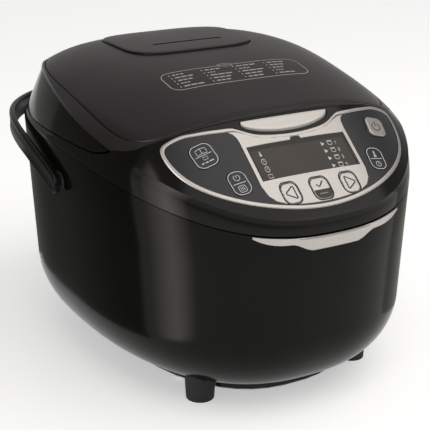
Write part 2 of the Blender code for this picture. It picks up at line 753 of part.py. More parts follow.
def make_hinge(materials):
    hv, hz = HINGE
    def arc(inset, z):
        return [(x, REAR_DEPTH * (1 - (abs(x) / HALF_WIDTH) ** REAR_POWER) ** (1 / REAR_POWER) - inset, z)
                for x in range(-34, 35, 4)]
    rings = [arc(-0.4, 172) + arc(-2.6, 172)[::-1], arc(-0.4, 193.5) + arc(-2.6, 193.5)[::-1]]
    bracket = loft("hinge_bracket", rings, materials["black_plastic"])
    for side in (-1, 1):
        low, high = sorted((side * 22.2, side * 30.0))
        add(bracket, box(f"knuckle_arm_{side}", (low, 170.6, 182), (high, hv + 4.1, hz), None))
        add(bracket, rod(f"knuckle_barrel_{side}", 4.2, (low, hv, hz), (high, hv, hz), None, sides=20))
    cut(bracket, rod("knuckle_bore", 2.1, (-40, hv, hz), (40, hv, hz), None, sides=20))
    pin = rod("hinge_pin", 1.8, (-31.0, hv, hz), (31.0, hv, hz), materials["steel"], sides=16)
    for side in (-1, 1):
        add(pin, rod(f"pin_head_{side}", 3.2, (side * 30.4, hv, hz), (side * 32.0, hv, hz), None, sides=16))
    turns, length = 5, 20.0
    path = [(-length / 2, hv + 3.0, hz - 14.0)]
    for i in range(STEPS_PER_TURN * turns + 1):
        a = 2 * math.pi * i / STEPS_PER_TURN
        along = -length / 2 + length * i / (STEPS_PER_TURN * turns)
        path.append((along, hv + 3.0 * math.cos(a), hz + 3.0 * math.sin(a)))
    path.append((length / 2, hv + 3.0, hz + 6.5))
    wire_along("hinge_spring", path, 1.2, materials["steel"])


def hang_lid_on_hinge():
    """Parent the lid's pieces to an empty on the hinge axis."""
    axis = bpy.data.objects.new("lid_axis", None)
    axis.location = world((0, *HINGE))
    PARTS.objects.link(axis)
    for name in ("lid_cover", "lid_top_panel", "lid_side_band", "lid_frame", "lid_catch", "inner_lid",
                 "lid_gasket", "steam_cup", "steam_vent_cap"):
        piece = bpy.data.objects[name]
        piece.parent = axis
        piece.matrix_parent_inverse = Matrix.Translation(-axis.location)


# ---------------------------------------------------------------- carry handle

def make_handle(material):
    """Bail: a flat strap round the back of the body, with a pivot stub at each end."""
    end_radius = HANDLE_HEIGHT / 2
    stations = []
    for degrees in (0, 18, 38, 60):
        v = PIVOT[0] - end_radius * math.cos(math.radians(degrees))
        stations.append((HALF_WIDTH + curve_through(HANDLE_GAP, v), v))
    stations += [(HALF_WIDTH + curve_through(HANDLE_GAP, v), v) for v in (-24.0, -16.0, -8.0)]
    for i in range(21):
        angle = math.pi / 2 * i / 20
        stations.append(plan(angle, -curve_through(HANDLE_GAP, plan(angle)[1])))
    path = stations + [(-x, v) for x, v in reversed(stations[:-1])]
    sections = []
    for i, (x, v) in enumerate(path):
        before, after = path[max(i - 1, 0)], path[min(i + 1, len(path) - 1)]
        along = Vector((after[0] - before[0], after[1] - before[1])).normalized()
        outward = Vector((along.y, -along.x))
        if outward.dot(Vector((x, v))) < 0:
            outward = -outward
        past = max(0.0, PIVOT[0] - v)
        half = math.sqrt(max(end_radius**2 - past**2, 4.0)) if past > 0 else end_radius
        middle = curve_through(HANDLE_RISE, v)
        soft = min(1.6, half / 2)
        profile = ((0, -half + soft), (0, half - soft), (1.2, half), (HANDLE_THICK - 1.6, half),
                   (HANDLE_THICK, half - soft), (HANDLE_THICK, -half + soft), (HANDLE_THICK - 1.6, -half),
                   (1.2, -half))
        sections.append([(x + outward.x * out, v + outward.y * out, middle + up) for out, up in profile])
    handle = loft("carry_handle", sections, material, origin=(0, *PIVOT))
    for side in (-1, 1):
        add(handle, rod(f"pivot_stub_{side}", 4.9, (side * 136.5, *PIVOT), (side * 149.0, *PIVOT), None))
    return handle


def make_handle_bushes(material):
    for name, side in (("handle_bush_left", -1), ("handle_bush_right", 1)):
        bush = rod(name, 8.0, (side * 138.5, *PIVOT), (side * 144.6, *PIVOT), material)
        add(bush, rod(name + "_flange", 11.0, (side * 137.0, *PIVOT), (side * 140.0, *PIVOT), None))
        cut(bush, rod(name + "_bore", 5.3, (side * 130, *PIVOT), (side * 150, *PIVOT), None))


# ---------------------------------------------------------------- base, feet and inside

def screw_places():
    return [plan(math.radians(degrees), 58.0) for degrees in (60, 120, 215, 325)]


CUP_TONGUES = (-24, 24)
FEET = {"foot_front_left": (-75, -136), "foot_front_right": (75, -136),
        "foot_rear_left": (-70, 92), "foot_rear_right": (70, 92)}


def make_feet(material):
    rings = [[(*plan(t, body_inset(z) - 0.4), z - 0.35) for t in angles()] for z in round_heights(BODY_ROUND)]
    shell = loft("body_underside", rings, None)
    for name, (x, v) in FEET.items():
        foot = rod(name, 11.6, (x, v, 0), (x, v, 32), material, end_radius=13.4)
        cut(foot, shell)


def make_base_plate(material):
    levels = ((52.0, 5.0), (49.8, 7.0), (49.8, 12.4), (52.0, 11.9), (53.0, 7.5))
    base = loft("base_plate", [[(*plan(a, inset), z) for a in angles()] for inset, z in levels], material)
    add(base, rod("sensor_post", 11.0, (0, POT_V, 6.5), (0, POT_V, 24), None))
    for i, (x, v) in enumerate(((-40, -100), (40, -100), (-40, -58), (40, -58))):
        add(base, rod(f"board_post_{i}", 4.0, (x, v, 6.5), (x, v, 19.7), None, sides=12))
    for i in range(7):
        x = -36 + 12 * i
        cut(base, box(f"vent_slot_{i}", (x - 2.5, 44, 0), (x + 2.5, 84, 20), None))
    for name, (x, v) in FEET.items():
        cut(base, rod(name + "_notch", 13.9, (x, v, -5), (x, v, 30), None, sides=16))
    for i, (x, v) in enumerate(screw_places()):
        add(base, rod(f"screw_boss_{i}", 6.0, (x, v, 6.5), (x, v, 10.6), None, sides=16))
        cut(base, rod(f"base_screw_hole_{i}", 2.4, (x, v, 0), (x, v, 20), None, sides=12))
    return base


def make_base_screws(material):
    for i, (x, v) in enumerate(screw_places()):
        screw = rod(f"base_screw_{i + 1}", 2.0, (x, v, 4.0), (x, v, 16.5), material, sides=12)
        add(screw, rod(f"screw_head_{i}", 4.0, (x, v, 2.6), (x, v, 4.7), None, sides=12))
        cut(screw, box(f"screw_slot_a{i}", (x - 2.5, v - 0.5, 0), (x + 2.5, v + 0.5, 3.6), None))


def make_cooking_core(materials):
    turned("inner_pot", [(0, 55.3), (97, 55.3), (108.5, 61.5), (114, 76), (114, 200.3), (POT_FLANGE, 200.3),
                         (POT_FLANGE, 198.3), (POT_RADIUS, 198.3), (POT_RADIUS, 75), (110, 60), (98, POT_BOTTOM),
                         (0, POT_BOTTOM)], (0, POT_V), materials["nonstick"], steps=40)
    turned("heat_shield", [(SHIELD_RADIUS - 1.5, 193.8), (SHIELD_RADIUS, 193.8), (SHIELD_RADIUS, 43.0), (80, 43.0),
                           (80, 44.4), (SHIELD_RADIUS - 1.5, 44.4)], (0, POT_V), materials["steel"])
    turned("heater_plate", [(16, 52.9), (84, 52.9), (86, 51), (86, 44.8), (16, 44.8)], (0, POT_V),
           materials["aluminium"])
    turned("temperature_sensor", [(0, 52.9), (13, 52.9), (14, 51.9), (14, 49.3), (5, 49.3), (5, 34), (0, 34)],
           (0, POT_V), materials["aluminium"], steps=32)
    coil("sensor_spring", (0, POT_V), 8.0, 24.9, 48.6, 5, 1.0, materials["steel"])


def make_power(materials):
    board = box("power_board", (-55, -110, 20), (55, -48, 21.8), materials["circuit_green"])
    for name, low, high in (("transformer", (-48, -102, 21), (-18, -76, 38)),
                            ("relay", (-8, -100, 21), (12, -84, 37)),
                            ("capacitor", (24, -98, 21), (44, -78, 35)),
                            ("heat_sink", (-10, -72, 21), (40, -62, 36))):
        add(board, box(name, low, high, None))
    inlet = box("power_inlet", (-15.5, 146, 70), (15.5, 165, 91), materials["black_plastic"])
    add(inlet, box("inlet_flange", (-27.5, 164, 65), (27.5, 166.2, 95), None))
    cut(inlet, box("inlet_socket", (-12.2, 148, 72.2), (12.2, 175, 88.6), None))
    for name, x, z in (("inlet_pin_left", -7, 78.6), ("inlet_pin_right", 7, 78.6), ("inlet_pin_earth", 0, 82.6)):
        box(name, (x - 1.0, 148.3, z - 2.0), (x + 1.0, 162.0, z + 2.0), materials["steel"])


def make_drip_cup_rail(material):
    """Bar that follows the rear wall, with two tongues that carry the drip cup."""
    rail = box("drip_cup_rail", (-29, 160, 152), (29, 170.8, 155), material)
    for x in CUP_TONGUES:
        add(rail, box(f"cup_tongue_{x}", (x - 4, 168, 152), (x + 4, 177, 155), None))
    wall = loft("rear_wall", [[(*plan(t, body_inset(z) - 0.02), z) for t in angles()]
                              for z in (BODY_STRAIGHT, SEAM_HEIGHT)], None)
    cut(rail, wall)


def make_drip_cup(material):
    cup = box("drip_cup", (-38, 171.4, 118), (38, 187, 160), material, origin=(0, 179, 139), bevel=2.0)
    for x in CUP_TONGUES:
        cut(cup, box(f"cup_slot_{x}", (x - 4.4, 165, 151.6), (x + 4.4, 174, 155.4), None))
    cut(cup, box("drip_cup_space", (-36, 173.2, 120), (36, 185.2, 170), None))


def trim_low_edge(x):
    """Height of the trim's lower edge: a flat middle, a step up on each side, then a taper to the tip."""
    t = abs(x)
    step = min(1.0, max(0.0, (t - TRIM_FLAT) / (TRIM_STEP - TRIM_FLAT)))
    rise = TRIM_LOW + TRIM_RISE * (3 * step**2 - 2 * step**3)
    return rise + TRIM_TAPER * (max(0.0, t - TRIM_STEP) / (TRIM_HALF - TRIM_STEP)) ** 2.6


def make_front_trim(material):
    """Bright strip under the seam at the front, deepest in the middle."""
    sections = []
    for i in range(45):
        x = TRIM_HALF * (i - 22) / 22
        heights = (trim_low_edge(x), seam(-half_depth(x)) - CLEAR - 0.2)
        inside = [(x, -half_depth(x, body_inset(z) - CLEAR), z) for z in heights]
        outside = [(x, -half_depth(x, body_inset(z) - TRIM_PROUD), z) for z in heights]
        sections.append(inside + outside[::-1])
    loft("front_trim", sections, material)


def half_depth(x, inset=0.0):
    """How far the plan outline reaches to the front at a place across."""
    return (FRONT_DEPTH - inset) * (1 - (abs(x) / (HALF_WIDTH - inset)) ** FRONT_POWER) ** (1 / FRONT_POWER)


def main():
    for obj in list(bpy.data.objects):
        bpy.data.objects.remove(obj, do_unlink=True)
    bpy.context.scene.collection.children.link(PARTS)
    bpy.context.scene.collection.children.link(CUTTERS)
    materials = {
        "body_black": make_material("body_black", (0.018, 0.017, 0.016), 0.28),
        "gloss_black": make_material("gloss_black", (0.012, 0.012, 0.012), 0.12),
        "lid_brown": make_material("lid_brown", (0.055, 0.045, 0.043), 0.32, 0.3),
        "black_plastic": make_material("black_plastic", (0.02, 0.02, 0.02), 0.5),
        "grey_plastic": make_material("grey_plastic", (0.12, 0.12, 0.12), 0.5),
        "silver": make_material("silver", (0.62, 0.59, 0.55), 0.3, 0.9),
        "glass": make_material("glass", (0.05, 0.055, 0.045), 0.1),
        "steel": make_material("steel", (0.55, 0.55, 0.56), 0.35, 1.0),
        "aluminium": make_material("aluminium", (0.7, 0.7, 0.7), 0.4, 1.0),
        "nonstick": make_material("nonstick", (0.06, 0.06, 0.065), 0.45),
        "silicone": make_material("silicone", (0.6, 0.6, 0.58), 0.6),
        "rubber": make_material("rubber", (0.03, 0.03, 0.03), 0.8),
        "circuit_green": make_material("circuit_green", (0.03, 0.2, 0.07), 0.5),
    }
    make_outer_body(materials["body_black"])
    make_collar(materials["gloss_black"])
    make_panel(materials)
    make_release_button(materials["silver"])
    make_release_guide(materials["black_plastic"])
    make_latch(materials)
    make_lid_cover(materials["lid_brown"])
    make_top_panel(materials["lid_brown"])
    make_vent_cap(materials["lid_brown"])
    make_side_band(materials["gloss_black"])
    make_lid_frame(materials["black_plastic"])
    make_lid_catch(materials["black_plastic"])
    make_lid_inside(materials)
    make_hinge(materials)
    make_handle(materials["black_plastic"])
    make_handle_bushes(materials["grey_plastic"])
    make_feet(materials["rubber"])
    make_base_plate(materials["black_plastic"])
    make_base_screws(materials["steel"])
    make_cooking_core(materials)
    make_power(materials)
    make_drip_cup_rail(materials["black_plastic"])
    make_drip_cup(materials["black_plastic"])
    make_front_trim(materials["silver"])
    hang_lid_on_hinge()


main()
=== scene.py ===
"""Looks of the multicooker: fine shells, markings, materials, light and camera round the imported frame.

Lengths are in millimetres until world() turns them into metres. A point is (x, v, z): v runs from the centre of
the plan to the back, and PLAN_Y puts the plan's centre where the frame has it.
"""
import json
import math
from collections import namedtuple

import bmesh
import bpy
from mathutils import Matrix, Vector

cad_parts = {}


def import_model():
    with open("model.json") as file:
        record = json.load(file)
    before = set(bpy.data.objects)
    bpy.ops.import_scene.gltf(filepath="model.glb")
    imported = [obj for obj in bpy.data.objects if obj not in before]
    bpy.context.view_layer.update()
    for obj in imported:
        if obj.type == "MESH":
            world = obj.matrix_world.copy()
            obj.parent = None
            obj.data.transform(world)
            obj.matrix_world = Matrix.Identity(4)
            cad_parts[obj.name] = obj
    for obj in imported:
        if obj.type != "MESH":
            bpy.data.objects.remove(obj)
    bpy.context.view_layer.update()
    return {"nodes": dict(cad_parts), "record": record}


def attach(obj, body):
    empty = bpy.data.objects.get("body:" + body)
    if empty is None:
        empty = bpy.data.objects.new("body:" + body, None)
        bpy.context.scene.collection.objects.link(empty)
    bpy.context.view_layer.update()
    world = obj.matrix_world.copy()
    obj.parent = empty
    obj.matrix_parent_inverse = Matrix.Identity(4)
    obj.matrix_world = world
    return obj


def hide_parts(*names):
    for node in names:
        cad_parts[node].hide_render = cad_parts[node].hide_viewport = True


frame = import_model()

MM = 0.001
PLAN_Y = 13.4
AROUND = 144             # points round the plan outline
HALF_WIDTH, FRONT_DEPTH, REAR_DEPTH = 145.5, 214.4, 170.5
FRONT_POWER, REAR_POWER = 2.45, 2.2
BODY_ROUND, BODY_STRAIGHT, BODY_DRAFT, BODY_WALL = 59.0, 70.0, 5.8, 2.5
SEAM_HEIGHT, SEAM_DROP, SEAM_TURN, SEAM_RUN = 195.0, 39.0, 19.0, 229.0
DECK, DECK_UNDER, COLLAR_WALL, PANEL_WALL = 200.7, 194.5, 2.8, 5.0
LID_BOTTOM, LID_WALL = 201.3, 2.5
EDGE_INSET, EDGE_LEAN, EDGE_REAR = 3.0, 0.334, 4.0
UPPER_EDGE = ((-211, 167), (-170, 185.5), (-111, 206), (-40, 221.5), (30, 236.5), (75, 239), (120, 231), (161, 212))
LID_CROWN = ((-138, 229), (-80, 243), (-48, 249.5), (-10, 254), (30, 256), (70, 255.5), (100, 250), (130, 236),
             (161, 212))
PANEL_SLOPE, PANEL_REF, CROSS_POWER = 0.806, (-154.0, 212.0), 3.6
FRONT_EDGE, FRONT_EDGE_BEND, FRONT_EDGE_HALF, FRONT_EDGE_POWER = -134.5, 25.0, 130.0, 4.5
CORNER_START, CORNER_CURVE = 118.0, 0.055
JOINT_START, JOINT_RUN, JOINT_RISE, JOINT_POWER = -78.0, 23.0, 5.7, 1.4
EDGE_WALL, CORNER_WALL, THIN_START, THIN_RUN = 3.1, 0.6, -97.0, 10.0
JOINT_GAP = 0.6
PANEL_CENTRE, PANEL_HALF, PANEL_DEPTH, RIM_WIDTH = -132.0, 107.0, 71.5, 2.5
LCD_HALF, LCD_FRONT, LCD_BACK = 44.5, -179.0, -154.3
POT_V, POT_RADIUS, POT_FLANGE = 18.0, 115.8, 123.5
PIVOT, HINGE = (-24.0, 164.5), (175.2, 199.0)
HANDLE_RISE = ((-33, 161.5), (-24, 164.5), (0, 174), (30, 184), (70, 190), (130, 189), (189, 185))
HANDLE_GAP = ((-36, 0.8), (0, 3), (50, 7), (130, 9), (189, 13))
HANDLE_HEIGHT, HANDLE_THICK = 17.0, 5.3
CRESCENT_HALF = 39.3
CRESCENT_FRONT = ((0.0, -146.3), (7, -146.2), (14, -145.7), (20, -145.0), (26, -143.9), (31, -142.6), (35, -141.2),
                  (38.2, -139.4), (CRESCENT_HALF, -137.6))
KEY_CORNER, KEY_GAP = 5.0, 0.35
Key = namedtuple("Key", "x v width height rise depth")   # rise above the panel and depth below it
BUTTONS = {
    "recipes_button": Key(-78.8, -150.3, 18.5, 21.0, 0.2, 5.0),
    "timer_button": Key(-62.6, -175.4, 15.0, 21.0, 0.2, 5.0),
    "left_button": Key(-26.8, -190.4, 14.0, 18.0, 0.8, 9.0),
    "ok_button": Key(0.0, -190.9, 15.5, 19.0, 0.8, 9.0),
    "right_button": Key(26.8, -190.4, 14.0, 18.0, 0.8, 9.0),
    "temperature_button": Key(62.6, -175.4, 15.0, 21.0, 0.2, 5.0),
    "power_button": Key(78.8, -150.3, 17.5, 18.5, 1.8, 5.0),
}


# ---------------------------------------------------------------- outlines and surfaces, as the frame has them

def curve_through(points, at):
    def slope(i):
        low, high = max(i - 1, 0), min(i + 1, len(points) - 1)
        return (points[high][1] - points[low][1]) / (points[high][0] - points[low][0])
    if at <= points[0][0]:
        return points[0][1] + slope(0) * (at - points[0][0])
    if at >= points[-1][0]:
        return points[-1][1] + slope(len(points) - 1) * (at - points[-1][0])
    i = max(k for k in range(len(points) - 1) if points[k][0] <= at)
    run = points[i + 1][0] - points[i][0]
    t = (at - points[i][0]) / run
    return ((2 * t**3 - 3 * t**2 + 1) * points[i][1] + (t**3 - 2 * t**2 + t) * slope(i) * run
            + (3 * t**2 - 2 * t**3) * points[i + 1][1] + (t**3 - t**2) * slope(i + 1) * run)


def superellipse(angle, half_width, front, rear, front_power, rear_power):
    c, s = math.cos(angle), math.sin(angle)
    depth, power = (rear, rear_power) if s >= 0 else (front, front_power)
    return (half_width * math.copysign(abs(c) ** (2 / power), c), depth * math.copysign(abs(s) ** (2 / power), s))


def plan(angle, inset=0.0):
    return superellipse(angle, HALF_WIDTH - inset, FRONT_DEPTH - inset, REAR_DEPTH - inset,
                        FRONT_POWER, REAR_POWER)


def half_width(v, inset):
    depth, power = (REAR_DEPTH, REAR_POWER) if v >= 0 else (FRONT_DEPTH, FRONT_POWER)
    t = min(abs(v) / (depth - inset), 1.0)
    return (HALF_WIDTH - inset) * (1 - t**power) ** (1 / power)


def half_depth(x, inset=0.0):
    return (FRONT_DEPTH - inset) * (1 - (abs(x) / (HALF_WIDTH - inset)) ** FRONT_POWER) ** (1 / FRONT_POWER)


def angles(count=AROUND):
    return [2 * math.pi * (i + 0.5) / count for i in range(count)]


def seam(v):
    return SEAM_HEIGHT - SEAM_DROP * (max(0.0, SEAM_TURN - v) / SEAM_RUN) ** 2


def body_inset(z):
    if z >= BODY_STRAIGHT:
        return BODY_DRAFT * (SEAM_HEIGHT - z) / (SEAM_HEIGHT - BODY_STRAIGHT)
    drop = min((BODY_STRAIGHT - z) / BODY_ROUND, 1.0)
    return BODY_DRAFT + BODY_ROUND * (1 - math.sqrt(1 - drop * drop))


def upper_edge(v):
    return curve_through(UPPER_EDGE, v)


def edge_inset(v):
    return EDGE_INSET + EDGE_LEAN * max(0.0, upper_edge(v) - DECK) + EDGE_REAR * max(0.0, v / 160)


def edge_ring(angle, grow=0.0):
    return plan(angle, edge_inset(plan(angle)[1]) - grow)


def crowned(x, v, middle):
    width = half_width(v, edge_inset(v))
    edge = upper_edge(v)
    if width < 1e-6:
        return edge
    return middle - (middle - edge) * min(1.0, abs(x) / width) ** CROSS_POWER


def lid_top(x, v):
    return crowned(x, v, curve_through(LID_CROWN, v))


def panel_top(x, v):
    return crowned(x, v, PANEL_REF[1] + PANEL_SLOPE * (v - PANEL_REF[0]))


def lid_front(x):
    corner = CORNER_CURVE * max(0.0, abs(x) - CORNER_START) ** 2
    return FRONT_EDGE + FRONT_EDGE_BEND * (abs(x) / FRONT_EDGE_HALF) ** FRONT_EDGE_POWER + corner


def joint_height(v):
    """The joint between collar and lid, which climbs to the top edge at the lid's front corners."""
    rise = JOINT_RISE * min(1.0, max(0.0, (JOINT_START - v) / JOINT_RUN)) ** JOINT_POWER
    thinned = min(1.0, max(0.0, (THIN_START - v) / THIN_RUN))
    under_edge = EDGE_WALL - (EDGE_WALL - CORNER_WALL) * thinned
    return min(DECK + rise, max(DECK, upper_edge(v) - under_edge))


def world(point):
    x, v, z = point
    return Vector((x, v + PLAN_Y, z)) * MM


def panel_frame(x, v):
    step = 0.5
    across = Vector((2 * step, 0, panel_top(x + step, v) - panel_top(x - step, v))).normalized()
    along = Vector((0, 2 * step, panel_top(x, v + step) - panel_top(x, v - step)))
    normal = across.cross(along).normalized()
    turn = Matrix((across, normal.cross(across), normal)).transposed().to_4x4()
    turn.translation = world((x, v, panel_top(x, v)))
    return turn


# ---------------------------------------------------------------- materials

def node(tree, kind, **values):
    made = tree.nodes.new(kind)
    for key, value in values.items():
        if hasattr(made, key) and key not in made.inputs:
            setattr(made, key, value)
        else:
            made.inputs[key].default_value = value
    return made


def finish(name, color, roughness, metallic=0.0, specular=0.5, coat=0.0, spread=0.12, scale=60.0,
           rough_spread=0.05, bump=0.02, bump_scale=900.0, stretch=(1, 1, 1)):
    """Principled material whose colour, roughness and surface vary with noise in object space."""
    material = bpy.data.materials.new(name)
    material.use_nodes = True
    tree = material.node_tree
    shader = tree.nodes["Principled BSDF"]
    shader.inputs["Metallic"].default_value = metallic
    shader.inputs["Specular IOR Level"].default_value = specular
    shader.inputs["Coat Weight"].default_value = coat
    shader.inputs["Coat Roughness"].default_value = 0.06
    place = node(tree, "ShaderNodeTexCoord")
    shape = node(tree, "ShaderNodeMapping", Scale=stretch)
    tree.links.new(place.outputs["Object"], shape.inputs["Vector"])
    cloud = node(tree, "ShaderNodeTexNoise", Scale=scale, Detail=4.0, Roughness=0.6)
    tree.links.new(shape.outputs["Vector"], cloud.inputs["Vector"])
    ramp = node(tree, "ShaderNodeValToRGB")
    ramp.color_ramp.elements[0].position = 0.3
    ramp.color_ramp.elements[1].position = 0.7
    ramp.color_ramp.elements[0].color = (*(c * (1 - spread) for c in color), 1)
    ramp.color_ramp.elements[1].color = (*(min(1, c * (1 + spread)) for c in color), 1)
    tree.links.new(cloud.outputs["Fac"], ramp.inputs["Fac"])
    tree.links.new(ramp.outputs["Color"], shader.inputs["Base Color"])
    rough = node(tree, "ShaderNodeMapRange")
    rough.inputs["To Min"].default_value = roughness - rough_spread
    rough.inputs["To Max"].default_value = roughness + rough_spread
    tree.links.new(cloud.outputs["Fac"], rough.inputs["Value"])
    tree.links.new(rough.outputs["Result"], shader.inputs["Roughness"])
    grain = node(tree, "ShaderNodeTexNoise", Scale=bump_scale, Detail=2.0)
    tree.links.new(shape.outputs["Vector"], grain.inputs["Vector"])
    relief = node(tree, "ShaderNodeBump", Strength=bump, Distance=0.0002)
    tree.links.new(grain.outputs["Fac"], relief.inputs["Height"])
    tree.links.new(relief.outputs["Normal"], shader.inputs["Normal"])
    return material


M = {
    "body_black": finish("body_black", (0.0026, 0.0024, 0.0014), 0.17, specular=0.13, scale=8,
                         rough_spread=0.03, bump=0.015),
    "gloss_black": finish("gloss_black", (0.0030, 0.0027, 0.0018), 0.13, specular=0.2, scale=10,
                          rough_spread=0.03, bump=0.01),
    "lid_brown": finish("lid_brown", (0.0150, 0.0120, 0.0122), 0.34, metallic=0.15, specular=0.45, scale=2600,
                        spread=0.35, rough_spread=0.06, bump=0.05, bump_scale=2600),
    "black_plastic": finish("black_plastic", (0.006, 0.006, 0.006), 0.3, specular=0.25, scale=40,
                            bump=0.08, bump_scale=1400),
    "fascia_black": finish("fascia_black", (0.014, 0.0125, 0.014), 0.3, specular=0.4, scale=30,
                           bump=0.02),
    "grey_plastic": finish("grey_plastic", (0.035, 0.035, 0.035), 0.5, scale=50, bump=0.15, bump_scale=1200),
    "silver": finish("silver", (0.48, 0.452, 0.43), 0.33, metallic=0.9, scale=500, spread=0.05,
                     rough_spread=0.03, bump=0.03, bump_scale=3000, stretch=(0.1, 1, 1)),
    "lcd_glass": finish("lcd_glass", (0.062, 0.052, 0.044), 0.3, specular=0.2, scale=20, spread=0.12, bump=0.0),
    "lcd_mask": finish("lcd_mask", (0.026, 0.023, 0.020), 0.3, specular=0.25, scale=30, bump=0.0),
    "print_white": finish("print_white", (0.62, 0.62, 0.62), 0.5, scale=300, spread=0.1, bump=0.05),
    "print_grey": finish("print_grey", (0.30, 0.29, 0.28), 0.5, scale=300, spread=0.15, bump=0.05),
    "print_list": finish("print_list", (0.42, 0.40, 0.38), 0.5, scale=300, spread=0.15, bump=0.05),
    "print_dark": finish("print_dark", (0.03, 0.03, 0.03), 0.5, scale=300, bump=0.05),
    "steel": finish("steel", (0.55, 0.55, 0.56), 0.32, metallic=1.0, scale=300, spread=0.08, bump=0.08,
                    bump_scale=900, stretch=(1, 1, 0.05)),
    "aluminium": finish("aluminium", (0.72, 0.72, 0.73), 0.38, metallic=1.0, scale=200, spread=0.07, bump=0.1,
                        bump_scale=1500),
    "nonstick": finish("nonstick", (0.05, 0.05, 0.052), 0.4, scale=1800, spread=0.6, bump=0.15, bump_scale=1800),
    "silicone": finish("silicone", (0.5, 0.5, 0.47), 0.55, specular=0.4, scale=60, spread=0.06, bump=0.05),
    "rubber": finish("rubber", (0.02, 0.02, 0.02), 0.75, specular=0.3, scale=300, bump=0.25, bump_scale=900),
    "circuit_green": finish("circuit_green", (0.02, 0.13, 0.05), 0.45, scale=250, spread=0.4, bump=0.1),
}


# ---------------------------------------------------------------- mesh helpers

def link(name, bm, material, smooth=30.0):
    bmesh.ops.recalc_face_normals(bm, faces=bm.faces)
    mesh = bpy.data.meshes.new(name)
    bm.to_mesh(mesh)
    bm.free()
    piece = bpy.data.objects.new(name, mesh)
    bpy.context.scene.collection.objects.link(piece)
    if material:
        mesh.materials.append(M[material])
    shade(piece, smooth)
    return piece


def shade(piece, smooth=30.0):
    piece.data.shade_smooth()
    piece.data.set_sharp_from_angle(angle=math.radians(smooth))


def loft(name, rings, material=None, closed=False, matrix=None, smooth=30.0):
    bm = bmesh.new()
    place = world if matrix is None else (lambda p: matrix @ (Vector(p) * MM))
    rows = [[bm.verts.new(place(p)) for p in ring] for ring in rings]
    pairs = list(zip(rows, rows[1:])) + ([(rows[-1], rows[0])] if closed else [])
    for low, high in pairs:
        for i in range(len(low)):
            j = (i + 1) % len(low)
            bm.faces.new((low[i], low[j], high[j], high[i]))
    if not closed:
        bm.faces.new(rows[0])
        bm.faces.new(rows[-1])
    bmesh.ops.triangulate(bm, faces=[f for f in bm.faces if len(f.verts) > 4])
    return link(name, bm, material, smooth)


def prism(name, outline, low, high, material=None):
    def level(limit, x, v):
        return limit(x, v) if callable(limit) else limit
    return loft(name, [[(x, v, level(limit, x, v)) for x, v in outline] for limit in (low, high)], material)


def box(name, low, high):
    size = [(high[i] - low[i]) * MM for i in range(3)]
    middle = world([(high[i] + low[i]) / 2 for i in range(3)])
    bm = bmesh.new()
    bmesh.ops.create_cube(bm, size=1.0, matrix=Matrix.Translation(middle) @ Matrix.Diagonal((*size, 1.0)))
    return link(name, bm, None)


def rod(name, radius, start, end, sides=64):
    a, b = world(start), world(end)
    turn = (b - a).to_track_quat("Z", "Y").to_matrix().to_4x4()
    bm = bmesh.new()
    bmesh.ops.create_cone(bm, cap_ends=True, segments=sides, radius1=radius * MM, radius2=radius * MM,
                          depth=(b - a).length, matrix=Matrix.Translation((a + b) / 2) @ turn)
    return link(name, bm, None)


def combine(piece, other, operation="DIFFERENCE"):
    """Boolean that is applied at once; the other shape is used up."""
    step = piece.modifiers.new("join", "BOOLEAN")
    step.operation, step.object, step.solver = operation, other, "EXACT"
    graph = bpy.context.evaluated_depsgraph_get()
    mesh = bpy.data.meshes.new_from_object(piece.evaluated_get(graph))
    piece.modifiers.clear()
    piece.data = mesh
    bpy.data.objects.remove(other, do_unlink=True)
    return piece


def cut(piece, *others):
    for other in others:
        combine(piece, other)
    return piece


def settle(piece, body, slot, *nodes, material=None, smooth=30.0):
    """Last step of a piece that stands for CAD nodes or rides along as trim."""
    if material:
        piece.data.materials.clear()
        piece.data.materials.append(M[material])
    shade(piece, smooth)
    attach(piece, body)
    if nodes:
        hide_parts(*nodes)
    return piece


def smooth_loop(points, per=4):
    """Closed curve through the points."""
    out = []
    n = len(points)
    for i in range(n):
        p0, p1, p2, p3 = (points[(i + k) % n] for k in (-1, 0, 1, 2))
        for k in range(per):
            t = k / per
            out.append(tuple(0.5 * (2 * b + (c - a) * t + (2 * a - 5 * b + 4 * c - d) * t**2
                                    + (3 * b - a - 3 * c + d) * t**3) for a, b, c, d in zip(p0, p1, p2, p3)))
    return out


def mirrored(right_half):
    return right_half + [(-x, v) for x, v in reversed(right_half) if abs(x) > 1e-6]


def grown(outline, distance):
    area = sum(a[0] * b[1] - b[0] * a[1] for a, b in zip(outline, outline[1:] + outline[:1]))
    side = 1.0 if area > 0 else -1.0
    moved = []
    for before, here, after in zip(outline[-1:] + outline[:-1], outline, outline[1:] + outline[:1]):
        along = Vector((after[0] - before[0], after[1] - before[1])).normalized()
        moved.append((here[0] + side * along.y * distance, here[1] - side * along.x * distance))
    return moved


# ---------------------------------------------------------------- shells

DOME_SHARES = (0.985, 0.96, 0.93, 0.89, 0.84, 0.78, 0.7, 0.6, 0.48, 0.34, 0.18)


def domed_block(name, surface, bottom, grow=0.0, drop=0.0, count=AROUND):
    shoulder = [min(upper_edge(plan(a)[1]) - 1.5, DECK) - drop for a in angles(count)]
    rings = [[(*plan(a, EDGE_INSET - grow), bottom) for a in angles(count)]]
    rings.append([(*plan(a, EDGE_INSET - grow), z) for a, z in zip(angles(count), shoulder)])
    rings.append([(*edge_ring(a, grow), surface(*edge_ring(a)) - drop) for a in angles(count)])
    for share in DOME_SHARES:
        rings.append([(x * share, v * share, surface(x * share, v * share) - drop)
                      for x, v in map(edge_ring, angles(count))])
    return loft(name, rings)


def behind_front_edge(name, shift, low, high=400.0):
    reach = 175.0
    edge = [(x, lid_front(x) + shift) for x in range(-160, 161, 4)]
    outline = [(-reach, edge[0][1])] + edge + [(reach, edge[-1][1]), (reach, 240.0), (-reach, 240.0)]
    return prism(name, outline, low, high)


